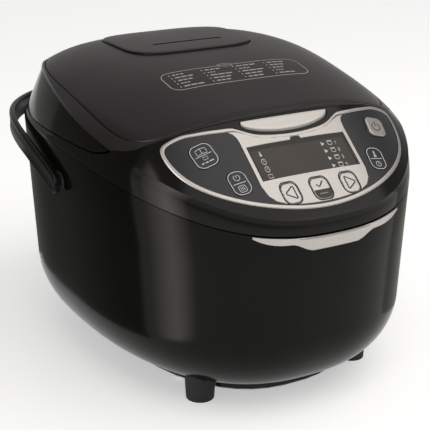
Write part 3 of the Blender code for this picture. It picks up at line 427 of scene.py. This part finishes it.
def below_curve(name, height, low=60.0, reach=175.0):
    side = [(v, height(v)) for v in range(-230, 241, 3)] + [(240.0, low), (-230.0, low)]
    return loft(name, [[(x, v, z) for v, z in side] for x in (-reach, reach)])


def make_body():
    outer, inner = [], []
    for step in range(17):
        a = math.pi / 2 * step / 16
        z = BODY_STRAIGHT - BODY_ROUND * math.cos(a)
        outer.append([(*plan(t, body_inset(z)), z) for t in angles()])
    thin = BODY_ROUND - BODY_WALL
    for step in range(9):
        a = math.pi / 2 * step / 8
        inset = BODY_DRAFT + BODY_WALL + thin * (1 - math.sin(a))
        inner.append([(*plan(t, inset), BODY_STRAIGHT - thin * math.cos(a)) for t in angles()])
    for share, below, tuck in ((0.33, 0, 0), (0.66, 0, 0), (1.0, 0.9, 0), (1.0, 0.35, 0.12), (1.0, 0.15, 0.5)):
        ring = []
        for t in angles():
            z = BODY_STRAIGHT + share * (seam(plan(t)[1]) - below - BODY_STRAIGHT)
            ring.append((*plan(t, body_inset(z) + tuck), z))
        outer.append(ring)
    inner.append([(*plan(t, BODY_WALL), seam(plan(t)[1]) - 0.15) for t in angles()])
    body = loft("body_shell", outer + inner[::-1], closed=True)
    cut(body, rod("bush_bore", 8.3, (-170, *PIVOT), (170, *PIVOT)),
        box("inlet_opening", (-27.8, 140, 64.7), (27.8, 190, 95.3)))
    settle(body, "base", "body_black", "outer_body", material="body_black")


def collar_block(name, grow, deck, shift, drop, bottom):
    block = domed_block(name, lambda x, v: min(panel_top(x, v), 245.0), bottom, grow, drop)
    return cut(block, behind_front_edge("lid_space", shift, deck))


def collar_skin():
    def wall(share):
        ring = []
        for a in angles():
            v = plan(a)[1]
            low, high = seam(v), min(upper_edge(v) - 1.5, DECK)
            inset = body_inset(low) + share**2 * (EDGE_INSET - body_inset(low))
            ring.append((*plan(a, inset), low + share * (high - low)))
        return ring
    rings = [[(*plan(a, body_inset(140.0)), 140.0) for a in angles()]] + [wall(k / 5) for k in range(6)]
    rings.append([(*edge_ring(a), panel_top(*edge_ring(a))) for a in angles()])
    for share in DOME_SHARES:
        rings.append([(x * share, v * share, min(panel_top(x * share, v * share), 245.0))
                      for x, v in map(edge_ring, angles())])
    return loft("collar_shell", rings)


def lid_space():
    """Two shapes that clear the collar under the lid: the deck, and what stands above the joint at the edge."""
    core = loft("deck_core", [[(*plan(a, EDGE_INSET + 3.2), z) for a in angles()] for z in (DECK, 300.0)])
    combine(core, behind_front_edge("extent", 0.0, 150.0), "INTERSECT")
    side = [(v, joint_height(v) + 0.01) for v in range(-230, 241, 3)]
    side += [(240.0, 400.0), (-230.0, 400.0)]
    above = loft("above_joint", [[(x, v, z) for v, z in side] for x in (-175.0, 175.0)])
    combine(above, behind_front_edge("extent", 0.0, 150.0), "INTERSECT")
    return core, above


def make_collar():
    collar = collar_skin()
    cut(collar, *lid_space())
    cut(collar, collar_block("hollow", -COLLAR_WALL, DECK_UNDER, -COLLAR_WALL, PANEL_WALL, 100.0))
    cut(collar, below_curve("below_seam", lambda v: seam(v) + 0.15))
    cut(collar, rod("pot_hole", POT_RADIUS + 2.8, (0, POT_V, 150), (0, POT_V, 260), 96))
    cut(collar, rod("flange_seat", POT_FLANGE + 0.6, (0, POT_V, 198.0), (0, POT_V, 260), 96))
    cut(collar, panel_tile("recess", grown(fine_outline(), 0.3), -2.6, 60.0))
    cut(collar, prism("window", fine_outline(-4.0), 120.0, 300.0))
    cut(collar, prism("release_opening", grown(crescent(), 1.0), 190.0, 300.0))
    cut(collar, box("latch_pocket", (-16, -140, 170), (16, -115, 203)))
    settle(collar, "base", "gloss_black", "collar", material="gloss_black")


# ---------------------------------------------------------------- control panel

def panel_outline(grow=0.0):
    right = [(0.0, PANEL_CENTRE - PANEL_DEPTH - grow)]
    for degrees in range(-84, -2, 6):
        c, s = math.cos(math.radians(degrees)), math.sin(math.radians(degrees))
        right.append(((PANEL_HALF + grow) * c**0.976, PANEL_CENTRE - (PANEL_DEPTH + grow) * abs(s)**0.976))
    right += [(PANEL_HALF - 0.6 + grow, -132.4 + grow), (PANEL_HALF - 3.5 + grow, -130.0 + grow)]
    top = ((96, -130.3), (88, -131.5), (78, -134), (62, -137), (50, -138.6), (45, -140.5), (33, -146),
           (19, -148.5), (0, -149.5))
    return mirrored(right + [(x * (1 + grow / PANEL_HALF), v + grow) for x, v in top])


def fine_outline(grow=0.0):
    return smooth_loop(panel_outline(grow), 4)


def crescent():
    behind = lambda x: lid_front(x) - 1.8
    right = [(abs(x), v) for x, v in CRESCENT_FRONT]
    return mirrored(right + [(CRESCENT_HALF, behind(CRESCENT_HALF)), (20, behind(20)), (0.0, behind(0))])


def panel_slab(name, low, high, material=None):
    columns, lines = 76, 30
    across = [-114 + 228 * i / columns for i in range(columns + 1)]
    along = [-210 + 90 * i / lines for i in range(lines + 1)]
    bm = bmesh.new()
    sheets = [[[bm.verts.new(world((x, v, panel_top(x, v) + lift))) for x in across] for v in along]
              for lift in (low, high)]
    for sheet in sheets:
        for r in range(lines):
            for c in range(columns):
                bm.faces.new((sheet[r][c], sheet[r][c + 1], sheet[r + 1][c + 1], sheet[r + 1][c]))
    edges = []
    for rows in sheets:
        edges.append(rows[0] + [row[-1] for row in rows[1:]] + rows[-1][-2::-1] + [r[0] for r in rows[-2:0:-1]])
    for i in range(len(edges[0])):
        j = (i + 1) % len(edges[0])
        bm.faces.new((edges[0][i], edges[0][j], edges[1][j], edges[1][i]))
    bmesh.ops.triangulate(bm, faces=bm.faces[:])
    return link(name, bm, material)


def panel_tile(name, outline, low, high):
    return combine(panel_slab(name, low, high), prism("tile_outline", outline, 100.0, 300.0), "INTERSECT")


def rounded_square(width, height, corner, per_corner=9):
    points = []
    for quarter, (sx, sy) in enumerate(((1, 1), (-1, 1), (-1, -1), (1, -1))):
        for i in range(per_corner):
            a = math.pi / 2 * (quarter + i / (per_corner - 1))
            points.append((sx * (width / 2 - corner) + corner * math.cos(a),
                           sy * (height / 2 - corner) + corner * math.sin(a)))
    return points


def button_ring(spec, grow, z):
    return [(x, y, z) for x, y in rounded_square(spec.width + 2 * grow, spec.height + 2 * grow, KEY_CORNER + grow)]


def button_hole(spec):
    return loft("hole", [button_ring(spec, KEY_GAP, z) for z in (-12.0, 12.0)], matrix=panel_frame(spec.x, spec.v))


def plate_outline():
    right = [(0.0, -199.6), (12, -199.3), (24, -198.3), (34, -196.4), (41, -193.4), (45.5, -188.8), (47.5, -182.0),
             (47.5, -165), (47.6, -150.0), (48.2, -146.2), (49.8, -143.2), (52.5, -141.4), (47, -142.4), (42, -144.4),
             (32, -148.8), (18, -151.2), (0.0, -152.2)]
    return mirrored(right)


def lcd_outline():
    tab = 4.7
    return [(-LCD_HALF, LCD_FRONT), (LCD_HALF, LCD_FRONT), (LCD_HALF, LCD_BACK), (tab, LCD_BACK),
            (tab - 0.8, LCD_BACK + 2.0), (0.8 - tab, LCD_BACK + 2.0), (-tab, LCD_BACK), (-LCD_HALF, LCD_BACK)]


def make_panel():
    fascia = panel_tile("fascia_sheet", fine_outline(), -2.3, -0.1)
    plate = panel_tile("centre_sheet", plate_outline(), 0.0, 0.5)
    cut(plate, prism("window_opening", grown(lcd_outline(), 0.2), 100.0, 300.0))
    for name, spec in BUTTONS.items():
        cut(fascia, button_hole(spec))
        if name in ("left_button", "ok_button", "right_button"):
            cut(plate, button_hole(spec))
    settle(fascia, "base", "gloss_black", "control_fascia", material="fascia_black")
    settle(plate, "base", "silver", "centre_plate", material="silver")
    rings = []
    for grow, lift in ((-0.1, -0.1), (-0.1, 0.3), (-0.3, 0.5), (-0.7, 0.62), (-RIM_WIDTH + 0.7, 0.62),
                       (-RIM_WIDTH + 0.3, 0.56), (-RIM_WIDTH + 0.1, 0.4), (-RIM_WIDTH + 0.1, -0.1)):
        rings.append([(x, v, panel_top(x, v) + lift) for x, v in fine_outline(grow)])
    settle(loft("rim_bead", rings, closed=True), "base", "silver", "panel_rim", material="silver", smooth=60)
    window = panel_tile("display_glass", lcd_outline(), -0.05, 0.12)
    settle(window, "base", "lcd_glass", "lcd_window", material="lcd_mask")
    active = [(-LCD_HALF + 1.6, LCD_FRONT + 0.1), (LCD_HALF - 3.2, LCD_FRONT + 0.1), (LCD_HALF - 3.2, LCD_BACK - 3.4),
              (-LCD_HALF + 1.6, LCD_BACK - 3.4)]
    settle(panel_tile("display_field", active, 0.13, 0.2), "base", "lcd_glass", material="lcd_glass")


def make_buttons():
    for name, spec in BUTTONS.items():
        rise = spec.rise
        soft = min(0.9, rise + 0.25)
        rings = [button_ring(spec, -2.0, -spec.depth), button_ring(spec, -2.0, -4.4), button_ring(spec, 1.2, -4.3),
                 button_ring(spec, 1.2, -3.4), button_ring(spec, 0.0, -3.3)]
        for step in range(5):
            a = math.pi / 2 * step / 4
            rings.append(button_ring(spec, -soft * (1 - math.cos(a)), rise - soft + soft * math.sin(a)))
        rings.append([(x * 0.8, y * 0.8, rise) for x, y, _ in rings[-1]])
        metal = rise > 0.5
        key = loft(name + "_cap", rings, matrix=panel_frame(spec.x, spec.v))
        settle(key, name, "silver" if metal else "gloss_black", name,
               material="silver" if metal else "fascia_black", smooth=40)


# ---------------------------------------------------------------- printed marks

class Marks:
    """Thin raised ink: strokes and filled shapes laid on a surface."""

    def __init__(self, place, thick=0.09):
        self.bm = bmesh.new()
        self.place = place
        self.thick = thick

    def fill(self, points):
        low = [self.bm.verts.new(self.place(x, y, -0.02)) for x, y in points]
        high = [self.bm.verts.new(self.place(x, y, self.thick)) for x, y in points]
        self.bm.faces.new(low)
        self.bm.faces.new(high)
        for i in range(len(points)):
            j = (i + 1) % len(points)
            self.bm.faces.new((low[i], low[j], high[j], high[i]))

    def stroke(self, points, width, closed=False):
        ends = list(zip(points, points[1:] + points[:1])) if closed else list(zip(points, points[1:]))
        fine = []
        for a, b in ends:
            steps = max(1, round(math.dist(a, b) / 3.0))
            fine += [(a[0] + (b[0] - a[0]) * k / steps, a[1] + (b[1] - a[1]) * k / steps) for k in range(steps)]
        points = fine if closed else fine + [points[-1]]
        sides = []
        n = len(points)
        for i, (x, y) in enumerate(points):
            before = points[i - 1] if closed or i else points[0]
            after = points[(i + 1) % n] if closed or i < n - 1 else points[-1]
            along = Vector((after[0] - before[0], after[1] - before[1])).normalized() * width / 2
            corners = ((x - along.y, y + along.x), (x + along.y, y - along.x))
            sides.append([self.bm.verts.new(self.place(*corners[k], h))
                          for k, h in ((0, -0.02), (0, self.thick), (1, self.thick), (1, -0.02))])
        for i in range(n if closed else n - 1):
            a, b = sides[i], sides[(i + 1) % n]
            for k in range(4):
                self.bm.faces.new((a[k], a[(k + 1) % 4], b[(k + 1) % 4], b[k]))
        if not closed:
            self.bm.faces.new(sides[0])
            self.bm.faces.new(sides[-1])

    def ring(self, x, y, radius, width, start=0, end=360):
        steps = 20
        full = end - start >= 360
        turns = [math.radians(start + (end - start) * i / steps) for i in range(steps if full else steps + 1)]
        self.stroke([(x + radius * math.cos(a), y + radius * math.sin(a)) for a in turns], width, full)

    def piece(self, name, material, body, slot):
        return settle(link(name, self.bm, material), body, slot)


def on_button(spec):
    turn = panel_frame(spec.x, spec.v)
    return lambda x, y, h: turn @ (Vector((x, y, spec.rise + h)) * MM)


def clock(marks, x, y, radius, width):
    marks.ring(x, y, radius, width)
    marks.stroke([(x, y + radius * 0.55), (x, y), (x + radius * 0.4, y)], width)


def thermometer(marks, x, y, width, tall=5.0):
    marks.stroke([(x, y - tall / 2), (x, y + tall / 2)], width * 1.8)
    marks.ring(x, y - tall / 2, width * 1.2, width * 1.6)


def frame_mark(marks, spec, width, inset=0.45):
    marks.stroke(rounded_square(spec.width - 2 * inset, spec.height - 2 * inset, 5.6), width, True)


def make_button_marks():
    for name in ("recipes_button", "timer_button", "temperature_button"):
        spec = BUTTONS[name]
        marks = Marks(on_button(spec))
        frame_mark(marks, spec, 0.6)
        half = spec.width / 2 - 2.2
        if name == "timer_button":
            marks.stroke([(-half, -0.2), (half, -0.2)], 0.6)
            marks.ring(0, 4.9, 2.5, 0.5, 115, 425)
            marks.stroke([(0, 7.0), (0, 4.9)], 0.5)
            marks.stroke([(x, y - 5.2) for x, y in rounded_square(6.0, 5.6, 1.5, 4)], 0.5, True)
            for k in (-1, 0, 1):
                marks.stroke([(1.3 * k, -6.8), (1.3 * k, -3.6)], 0.45)
        elif name == "temperature_button":
            marks.stroke([(-half, -0.2), (half, -0.2)], 0.6)
            thermometer(marks, 0, 4.8, 0.65, 4.6)
            clock(marks, 0, -5.3, 2.3, 0.5)
        else:
            marks.stroke([(-half, 0.6), (half, 0.6)], 0.5)
            for side in (-1, 1):
                marks.stroke([(0, 2.3), (side * 4.3, 1.7), (side * 4.3, 6.3), (0, 6.9)], 0.45)
            marks.stroke([(0, 2.3), (0, 6.9)], 0.45)
            marks.stroke([(-1.9, -1.0), (-1.9, -3.4), (1.9, -3.4), (1.9, -1.0)], 0.45, True)
            for left, right in ((-5.2, -3.0), (-2.0, 0.6), (1.5, 5.2)):
                marks.stroke([(left, -6.0), (right, -6.0)], 1.0)
        marks.piece(name + "_marks", "print_white", name, "silver")
    for name, turn in (("left_button", -1), ("right_button", 1)):
        spec = BUTTONS[name]
        marks = Marks(on_button(spec))
        tip = [(4.4 * turn, 0), (3.9 * turn, 0.9), (-2.9 * turn, 5.6), (-3.5 * turn, 5.0), (-3.5 * turn, -5.0),
               (-2.9 * turn, -5.6), (3.9 * turn, -0.9)]
        marks.stroke(tip, 1.1, True)
        marks.piece(name + "_marks", "print_dark", name, "gloss_black")
    spec = BUTTONS["power_button"]
    marks = Marks(on_button(spec))
    marks.ring(0, -0.4, 3.9, 0.8, 125, 415)
    marks.stroke([(0, 5.0), (0, 0.4)], 0.85)
    marks.piece("power_marks", "print_dark", "power_button", "gloss_black")
    spec = BUTTONS["ok_button"]
    marks = Marks(on_button(spec))
    marks.fill([(x, y) for x, y in rounded_square(14.4, 17.8, 4.6, 9) if y < -1.4] + [(7.2, -1.2), (-7.2, -1.2)])
    marks.stroke([(-3.2, 3.6), (-1.0, 1.4), (3.4, 6.2)], 1.2)
    marks.piece("ok_marks", "print_dark", "ok_button", "gloss_black")
    light = Marks(on_button(spec), 0.14)
    light.stroke([(-3.6, -4.8), (3.6, -4.8)], 0.8)
    light.piece("ok_light_marks", "print_grey", "ok_button", "silver")


def make_panel_marks():
    on_panel = lambda lift: (lambda x, v, h: world((x, v, panel_top(x, v) + lift + h)))
    dark = Marks(on_panel(0.5))
    for name in ("left_button", "ok_button", "right_button"):
        spec = BUTTONS[name]
        width, height = spec.width + 1.5, (spec.height + 1.5) * 0.78
        dark.stroke([(x + spec.x, v + spec.v) for x, v in rounded_square(width, height, 4.9, 8)], 1.0, True)
    dark.piece("key_outlines", "print_dark", "base", "gloss_black")
    glow = Marks(on_panel(0.2))
    thermometer(glow, -35.8, -160.2, 0.5, 2.4)
    clock(glow, -35.9, -166.2, 1.9, 0.4)
    clock(glow, -36.0, -171.6, 1.9, 0.4)
    glow.stroke([(-37.8, -175.4), (-37.8, -177.8), (-34.2, -177.8), (-34.2, -175.4)], 0.4, True)
    digits = {1: [[(0, 1), (0, -1)]], 2: [[(-.6, 1), (.6, 1), (.6, 0), (-.6, 0), (-.6, -1), (.6, -1)]],
              3: [[(-.6, 1), (.6, 1), (.6, -1), (-.6, -1)], [(-.4, 0), (.5, 0)]],
              4: [[(-.6, 1), (-.6, 0), (.6, 0)], [(.6, 1), (.6, -1)]]}
    for k in range(4):
        v = -161.0 - 5.4 * k
        glow.fill([(19.6, v + 1.4), (19.6, v - 1.4), (22.6, v)])
        glow.stroke([(x + 27.6, y + v) for x, y in rounded_square(3.8, 2.5, 0.9, 4)], 0.36, True)
        glow.stroke([(25.4, v + 1.6), (29.8, v + 1.6)], 0.36)
        for line in digits[k + 1]:
            glow.stroke([(32.9 + x, v + y) for x, y in line], 0.4)
    glow.piece("display_marks", "print_white", "base", "silver")


DASHES = 3               # in each line of the list


def make_lid_marks():
    marks = Marks(lambda x, v, h: world((x, v, lid_top(x, v) + h)), 0.08)
    centre, half, depth = -64.0, 65.0, 15.5
    marks.stroke([(x, v + centre) for x, v in rounded_square(2 * half, 2 * depth, 9.0, 12)
                  if not (abs(x) < 8 and v > 0)], 0.75, True)
    marks.stroke([(x - 2, v + centre + depth) for x, v in rounded_square(13, 6, 2.2, 5)], 0.5, True)
    marks.stroke([(-6, centre + depth), (2, centre + depth)], 0.6)
    lengths = ((11, 17, 14, 9, 19), (15, 8, 21, 17, 14), (19, 11, 21, 17, 15), (17, 14, 11, 8, 16))
    for column, left in enumerate((-57, -27, 3, 33)):
        for row, long in enumerate(lengths[column]):
            v = centre + 10.4 - 5.2 * row
            marks.stroke([(left, v - 1.0), (left, v + 1.0)], 0.9)
            dash = long / DASHES
            for part in range(DASHES):
                start = left + 3 + dash * part
                marks.stroke([(start, v), (start + dash - 0.9, v)], 1.7)
    marks.piece("program_list_marks", "print_list", "lid", "silver")


# ---------------------------------------------------------------- lid

SHEET_HALF, SHEET_FRONT, SHEET_REAR = 126.0, 131.0, 132.0
VENT_V, VENT_HALF, VENT_DEPTH, VENT_POWER = 41.0, 61.0, 47.0, 3.9


def inset_outline(grow=0.0):
    return [superellipse(a, SHEET_HALF + grow, SHEET_FRONT + grow, SHEET_REAR + grow, 5.4, 2.4) for a in angles()]


def vent_outline(grow=0.0):
    half, depth = VENT_HALF + grow, VENT_DEPTH + grow
    return [(x, v + VENT_V) for x, v in (superellipse(a, half, depth, depth, VENT_POWER, VENT_POWER)
                                         for a in angles())]


def shrunk(outline, share, centre_v=0.0):
    return [(x * share, centre_v + (v - centre_v) * share) for x, v in outline]


def layered(name, rings):
    return loft(name, [[(x, v, lid_top(x, v) + lift) for x, v in outline] for outline, lift in rings])


SHEET_SHARES = (0.08, 0.2, 0.34, 0.48, 0.6, 0.7, 0.79, 0.86, 0.91, 0.95)


def make_lid():
    cover = domed_block("lid_shell", lid_top, 190.0)
    combine(cover, behind_front_edge("extent", 0.8, 150.0), "INTERSECT")
    hollow = domed_block("hollow", lid_top, 120.0, grow=1.5, drop=3.2)
    combine(hollow, behind_front_edge("extent", 0.8 + LID_WALL, 100.0), "INTERSECT")
    cut(cover, hollow)
    cut(cover, below_curve("below", lambda v: max(upper_edge(v) - 2.5, joint_height(v) + JOINT_GAP)))
    seat = [(shrunk(inset_outline(0.8), s), -1.9) for s in SHEET_SHARES]
    seat += [(inset_outline(0.8), -1.9), (inset_outline(0.8), 12.0)]
    seat += [(shrunk(inset_outline(0.8), s), 12.0) for s in reversed(SHEET_SHARES)]
    cut(cover, layered("seat", seat))
    cut(cover, prism("vent_opening", vent_outline(-5.0), 150.0, 300.0))
    settle(cover, "lid", "lid_brown", "lid_cover", material="lid_brown")

    rings = [(shrunk(inset_outline(), s), -1.3) for s in SHEET_SHARES]
    rings += [(inset_outline(), -1.3), (inset_outline(), -0.55), (inset_outline(-0.15), -0.2),
              (inset_outline(-0.5), -0.02)]
    rings += [(shrunk(inset_outline(-0.5), s), 0.0) for s in reversed(SHEET_SHARES)]
    panel = layered("lid_top_sheet", rings)
    cut(panel, prism("cap_opening", vent_outline(0.9), 150.0, 300.0))
    settle(panel, "lid", "lid_brown", "lid_top_panel", material="lid_brown")

    rings = [(shrunk(vent_outline(), s, VENT_V), -1.3) for s in (0.2, 0.5, 0.8)]
    rings += [(vent_outline(), -1.3), (vent_outline(), 1.1), (vent_outline(-0.25), 1.5), (vent_outline(-0.7), 1.74),
              (vent_outline(-1.2), 1.8)]
    rings += [(shrunk(vent_outline(-1.2), s, VENT_V), 1.8) for s in (0.95, 0.85, 0.7, 0.5, 0.25)]
    cap = layered("vent_cap_shell", rings)
    slot = [(x, v + 20.0) for x, v in rounded_square(68, 3.2, 1.55, 6)]
    cut(cap, prism("steam_slot", slot, 235.0, 275.0))
    settle(cap, "vent_cap", "lid_brown", "steam_vent_cap", material="lid_brown")


def make_side_band():
    start, count = -0.388, 150
    sections = []
    for i in range(count + 1):
        a = start + (math.pi - 2 * start) * i / count
        v = plan(a)[1]
        top = min(upper_edge(v), upper_edge(edge_ring(a)[1])) - 2.8
        bottom = joint_height(v) + JOINT_GAP
        lean = (edge_inset(v) - EDGE_INSET) / (upper_edge(v) - LID_BOTTOM)
        high, low = (EDGE_INSET + lean * (z - LID_BOTTOM) for z in (top, bottom))
        soft = 0.5
        sections.append([(*plan(a, low + soft), bottom), (*plan(a, low), bottom + soft),
                         (*plan(a, high), top - soft), (*plan(a, high + soft), top),
                         (*plan(a, high + 2.2), top), (*plan(a, low + 2.2), bottom)])
    band = loft("side_band_shell", sections)
    hv, hz = HINGE
    for side in (-1, 1):
        low, high = sorted((side * 13.5, side * 21.4))
        combine(band, box("arm", (low, 164.5, LID_BOTTOM + 0.3), (high, hv, hz + 4.1)), "UNION")
        combine(band, rod("barrel", 4.2, (low, hv, hz), (high, hv, hz)), "UNION")
    cut(band, rod("bore", 2.1, (-40, hv, hz), (40, hv, hz)))
    settle(band, "lid", "gloss_black", "lid_side_band", material="gloss_black")


# ---------------------------------------------------------------- release button, trim and handle

def make_release():
    sections = []
    for i in range(61):
        x = CRESCENT_HALF * math.sin(math.pi / 2 * (i - 30) / 30)
        low = curve_through(CRESCENT_FRONT, abs(x))
        high = lid_front(x) - 1.8
        top = lambda v: panel_top(x, v) + 1.0
        ring = [(x, low, 208.0), (x, low, top(low) - 0.9), (x, low + 0.25, top(low) - 0.3)]
        for k in range(7):
            v = low + 0.9 + (high - low - 1.6) * k / 6
            ring.append((x, v, top(v)))
        ring += [(x, high - 0.2, top(high) - 0.35), (x, high, top(high) - 0.8), (x, high, 208.0)]
        sections.append(ring)
    key = loft("release_crescent", sections)
    combine(key, box("stem", (-5, -145, 191.8), (5, -141, 212)), "UNION")
    settle(key, "release", "silver", "release_button", material="silver", smooth=45)


def trim_low_edge(x):
    t = abs(x)
    step = min(1.0, max(0.0, (t - 20) / 18))
    rise = 143.4 + 6.4 * (3 * step**2 - 2 * step**3)
    return rise + 6.7 * (max(0.0, t - 38) / 28) ** 2.6


def make_trim():
    sections = []
    for i in range(89):
        x = -66 + 1.5 * i
        low = trim_low_edge(x)
        high = seam(-half_depth(x)) - 0.5
        ring = [(x, -half_depth(x, body_inset(low) - 0.3), low)]
        ring.append((x, -half_depth(x, body_inset(low) - 0.9), low))
        for k in range(5):
            z = low + (high - low) * (0.06 + 0.88 * k / 4)
            ring.append((x, -half_depth(x, body_inset(z) - 1.35), z))
        ring.append((x, -half_depth(x, body_inset(high) - 0.9), high))
        ring.append((x, -half_depth(x, body_inset(high) - 0.3), high))
        sections.append(ring)
    settle(loft("trim_blade", sections), "base", "silver", "front_trim", material="silver", smooth=50)


def make_handle():
    end_radius = HANDLE_HEIGHT / 2
    stations = []
    for step in range(12):
        v = PIVOT[0] - end_radius * 0.995 * math.cos(math.pi / 2 * step / 12)
        stations.append((HALF_WIDTH + curve_through(HANDLE_GAP, v), v))
    stations += [(HALF_WIDTH + curve_through(HANDLE_GAP, v), v) for v in (-24.0, -20, -16.0, -12, -8.0, -4)]
    for i in range(81):
        angle = math.pi / 2 * i / 80
        stations.append(plan(angle, -curve_through(HANDLE_GAP, plan(angle)[1])))
    path = stations + [(-x, v) for x, v in reversed(stations[:-1])]
    half_profile = ((0, 6.9), (0.3, 7.9), (1.2, 8.5), (HANDLE_THICK - 1.7, 8.5), (HANDLE_THICK - 0.6, 7.9),
                    (HANDLE_THICK - 0.1, 6.9), (HANDLE_THICK, 5.6), (HANDLE_THICK - 0.35, 4.9))
    profile = [(out, -up) for out, up in half_profile] + list(reversed(half_profile))
    sections = []
    for i, (x, v) in enumerate(path):
        before, after = path[max(i - 1, 0)], path[min(i + 1, len(path) - 1)]
        along = Vector((after[0] - before[0], after[1] - before[1])).normalized()
        outward = Vector((along.y, -along.x))
        if outward.dot(Vector((x, v))) < 0:
            outward = -outward
        past = max(0.0, PIVOT[0] - v)
        half = math.sqrt(max(end_radius**2 - past**2, 0.6)) if past > 0 else end_radius
        middle = curve_through(HANDLE_RISE, v)
        scale = half / end_radius
        sections.append([(x + outward.x * out, v + outward.y * out, middle + up * scale) for out, up in profile])
    handle = loft("handle_strap", sections)
    for side in (-1, 1):
        combine(handle, rod("stub", 4.9, (side * 136.5, *PIVOT), (side * 149.0, *PIVOT)), "UNION")
    settle(handle, "handle", "black_plastic", "carry_handle", material="black_plastic", smooth=45)


# ---------------------------------------------------------------- stage

def area_light(name, place, aim, size, power, color=(1.0, 0.98, 0.95)):
    light = bpy.data.lights.new(name, "AREA")
    light.shape = "RECTANGLE"
    light.size, light.size_y = size
    light.energy = power
    light.color = color
    lamp = bpy.data.objects.new(name, light)
    lamp.location = place
    lamp.visible_camera = False
    lamp.rotation_euler = (Vector(aim) - Vector(place)).to_track_quat("-Z", "Y").to_euler()
    bpy.context.scene.collection.objects.link(lamp)
    return lamp


FLAGS = {
    # name: (line in plan, height, glow); grey cards that only the glossy sides mirror
    "left_flag": (((-187, -103), (-190, 90)), 400, 0.17),
    "rear_flag": (((-187, 80), (-176, 150), (-120, 228), (30, 240)), 160, 0.15),
    "right_flag": (((188, -200), (188, 60)), 200, 0.4),
}
STRIP_X, STRIP_Y, STRIP_Z, STRIP_TALL = -0.19, -0.148, 0.18, 0.35
STRIP_WIDTHS = (0.016, 0.032, 0.048, 0.064, 0.08)


def glowing(name, color, roughness, specular, glow_color, glow):
    material = finish(name, color, roughness, specular=specular, scale=3, spread=0.01, bump=0.0)
    shader = material.node_tree.nodes["Principled BSDF"]
    shader.inputs["Emission Color"].default_value = (*glow_color, 1)
    shader.inputs["Emission Strength"].default_value = glow
    return material


def make_stage():
    bm = bmesh.new()
    bmesh.ops.create_grid(bm, x_segments=2, y_segments=2, size=6.0)
    floor = link("floor", bm, None)
    floor.location.z = -0.0003
    floor.data.materials.append(glowing("floor_pale", (0.92, 0.92, 0.92), 0.6, 0.1, (1, 1, 1), 0.45))
    for name, (line, high, glow) in FLAGS.items():
        outline = [*line, *((x * 1.02, v) for x, v in line[::-1])]
        flag = loft(name, [[(x, v, z) for x, v in outline] for z in (0, high)])
        flag.data.materials.append(glowing(name, (0.02, 0.02, 0.02), 0.9, 0.0, (1.0, 0.98, 0.92), glow))
        flag.visible_camera = flag.visible_diffuse = flag.visible_shadow = False
    sky = bpy.data.worlds.new("studio")
    bpy.context.scene.world = sky
    sky.use_nodes = True
    background = sky.node_tree.nodes["Background"]
    background.inputs["Color"].default_value = (1.0, 0.99, 0.97, 1)
    background.inputs["Strength"].default_value = 0.42
    bpy.context.scene.view_settings.view_transform = "Standard"
    area_light("overhead", (0.35, -0.85, 1.6), (0.1, -0.3, 0.0), (2.4, 1.5), 14)
    for width in STRIP_WIDTHS:
        strip = area_light(f"left_strip_{width}", (STRIP_X - width / 10, STRIP_Y, STRIP_Z), (0, STRIP_Y, STRIP_Z),
                           (width, STRIP_TALL), 0.75 * width, (1.0, 0.93, 0.86))
        strip.visible_diffuse = False


CAMERA_AZIMUTH, CAMERA_ELEVATION, CAMERA_DISTANCE, CAMERA_LENS = -29.7, 19.9, 1.051, 99.1256
CAMERA_TARGET = (0, -0.0156, 0.110)


def make_camera():
    azimuth, elevation = math.radians(CAMERA_AZIMUTH), math.radians(CAMERA_ELEVATION)
    away = Vector((math.sin(azimuth) * math.cos(elevation), -math.cos(azimuth) * math.cos(elevation),
                   math.sin(elevation)))
    lens = bpy.data.cameras.new("camera")
    lens.sensor_width = 36.0
    lens.lens = CAMERA_LENS
    lens.clip_start = 0.01
    camera = bpy.data.objects.new("camera", lens)
    camera.location = Vector(CAMERA_TARGET) + away * CAMERA_DISTANCE
    camera.rotation_euler = (-away).to_track_quat("-Z", "Y").to_euler()
    bpy.context.scene.collection.objects.link(camera)
    bpy.context.scene.camera = camera


def repaint_frame():
    """Every node that stays visible gets the material that the record names for it."""
    slots = {part["node"]: part["material_slot"] for part in frame["record"]["subparts"]}
    for name, piece in frame["nodes"].items():
        piece.data.materials.clear()
        piece.data.materials.append(M[slots[name]])


make_camera()
repaint_frame()
make_body()
make_collar()
make_panel()
make_buttons()
make_button_marks()
make_panel_marks()
make_lid()
make_lid_marks()
make_side_band()
make_release()
make_trim()
make_handle()
make_stage()
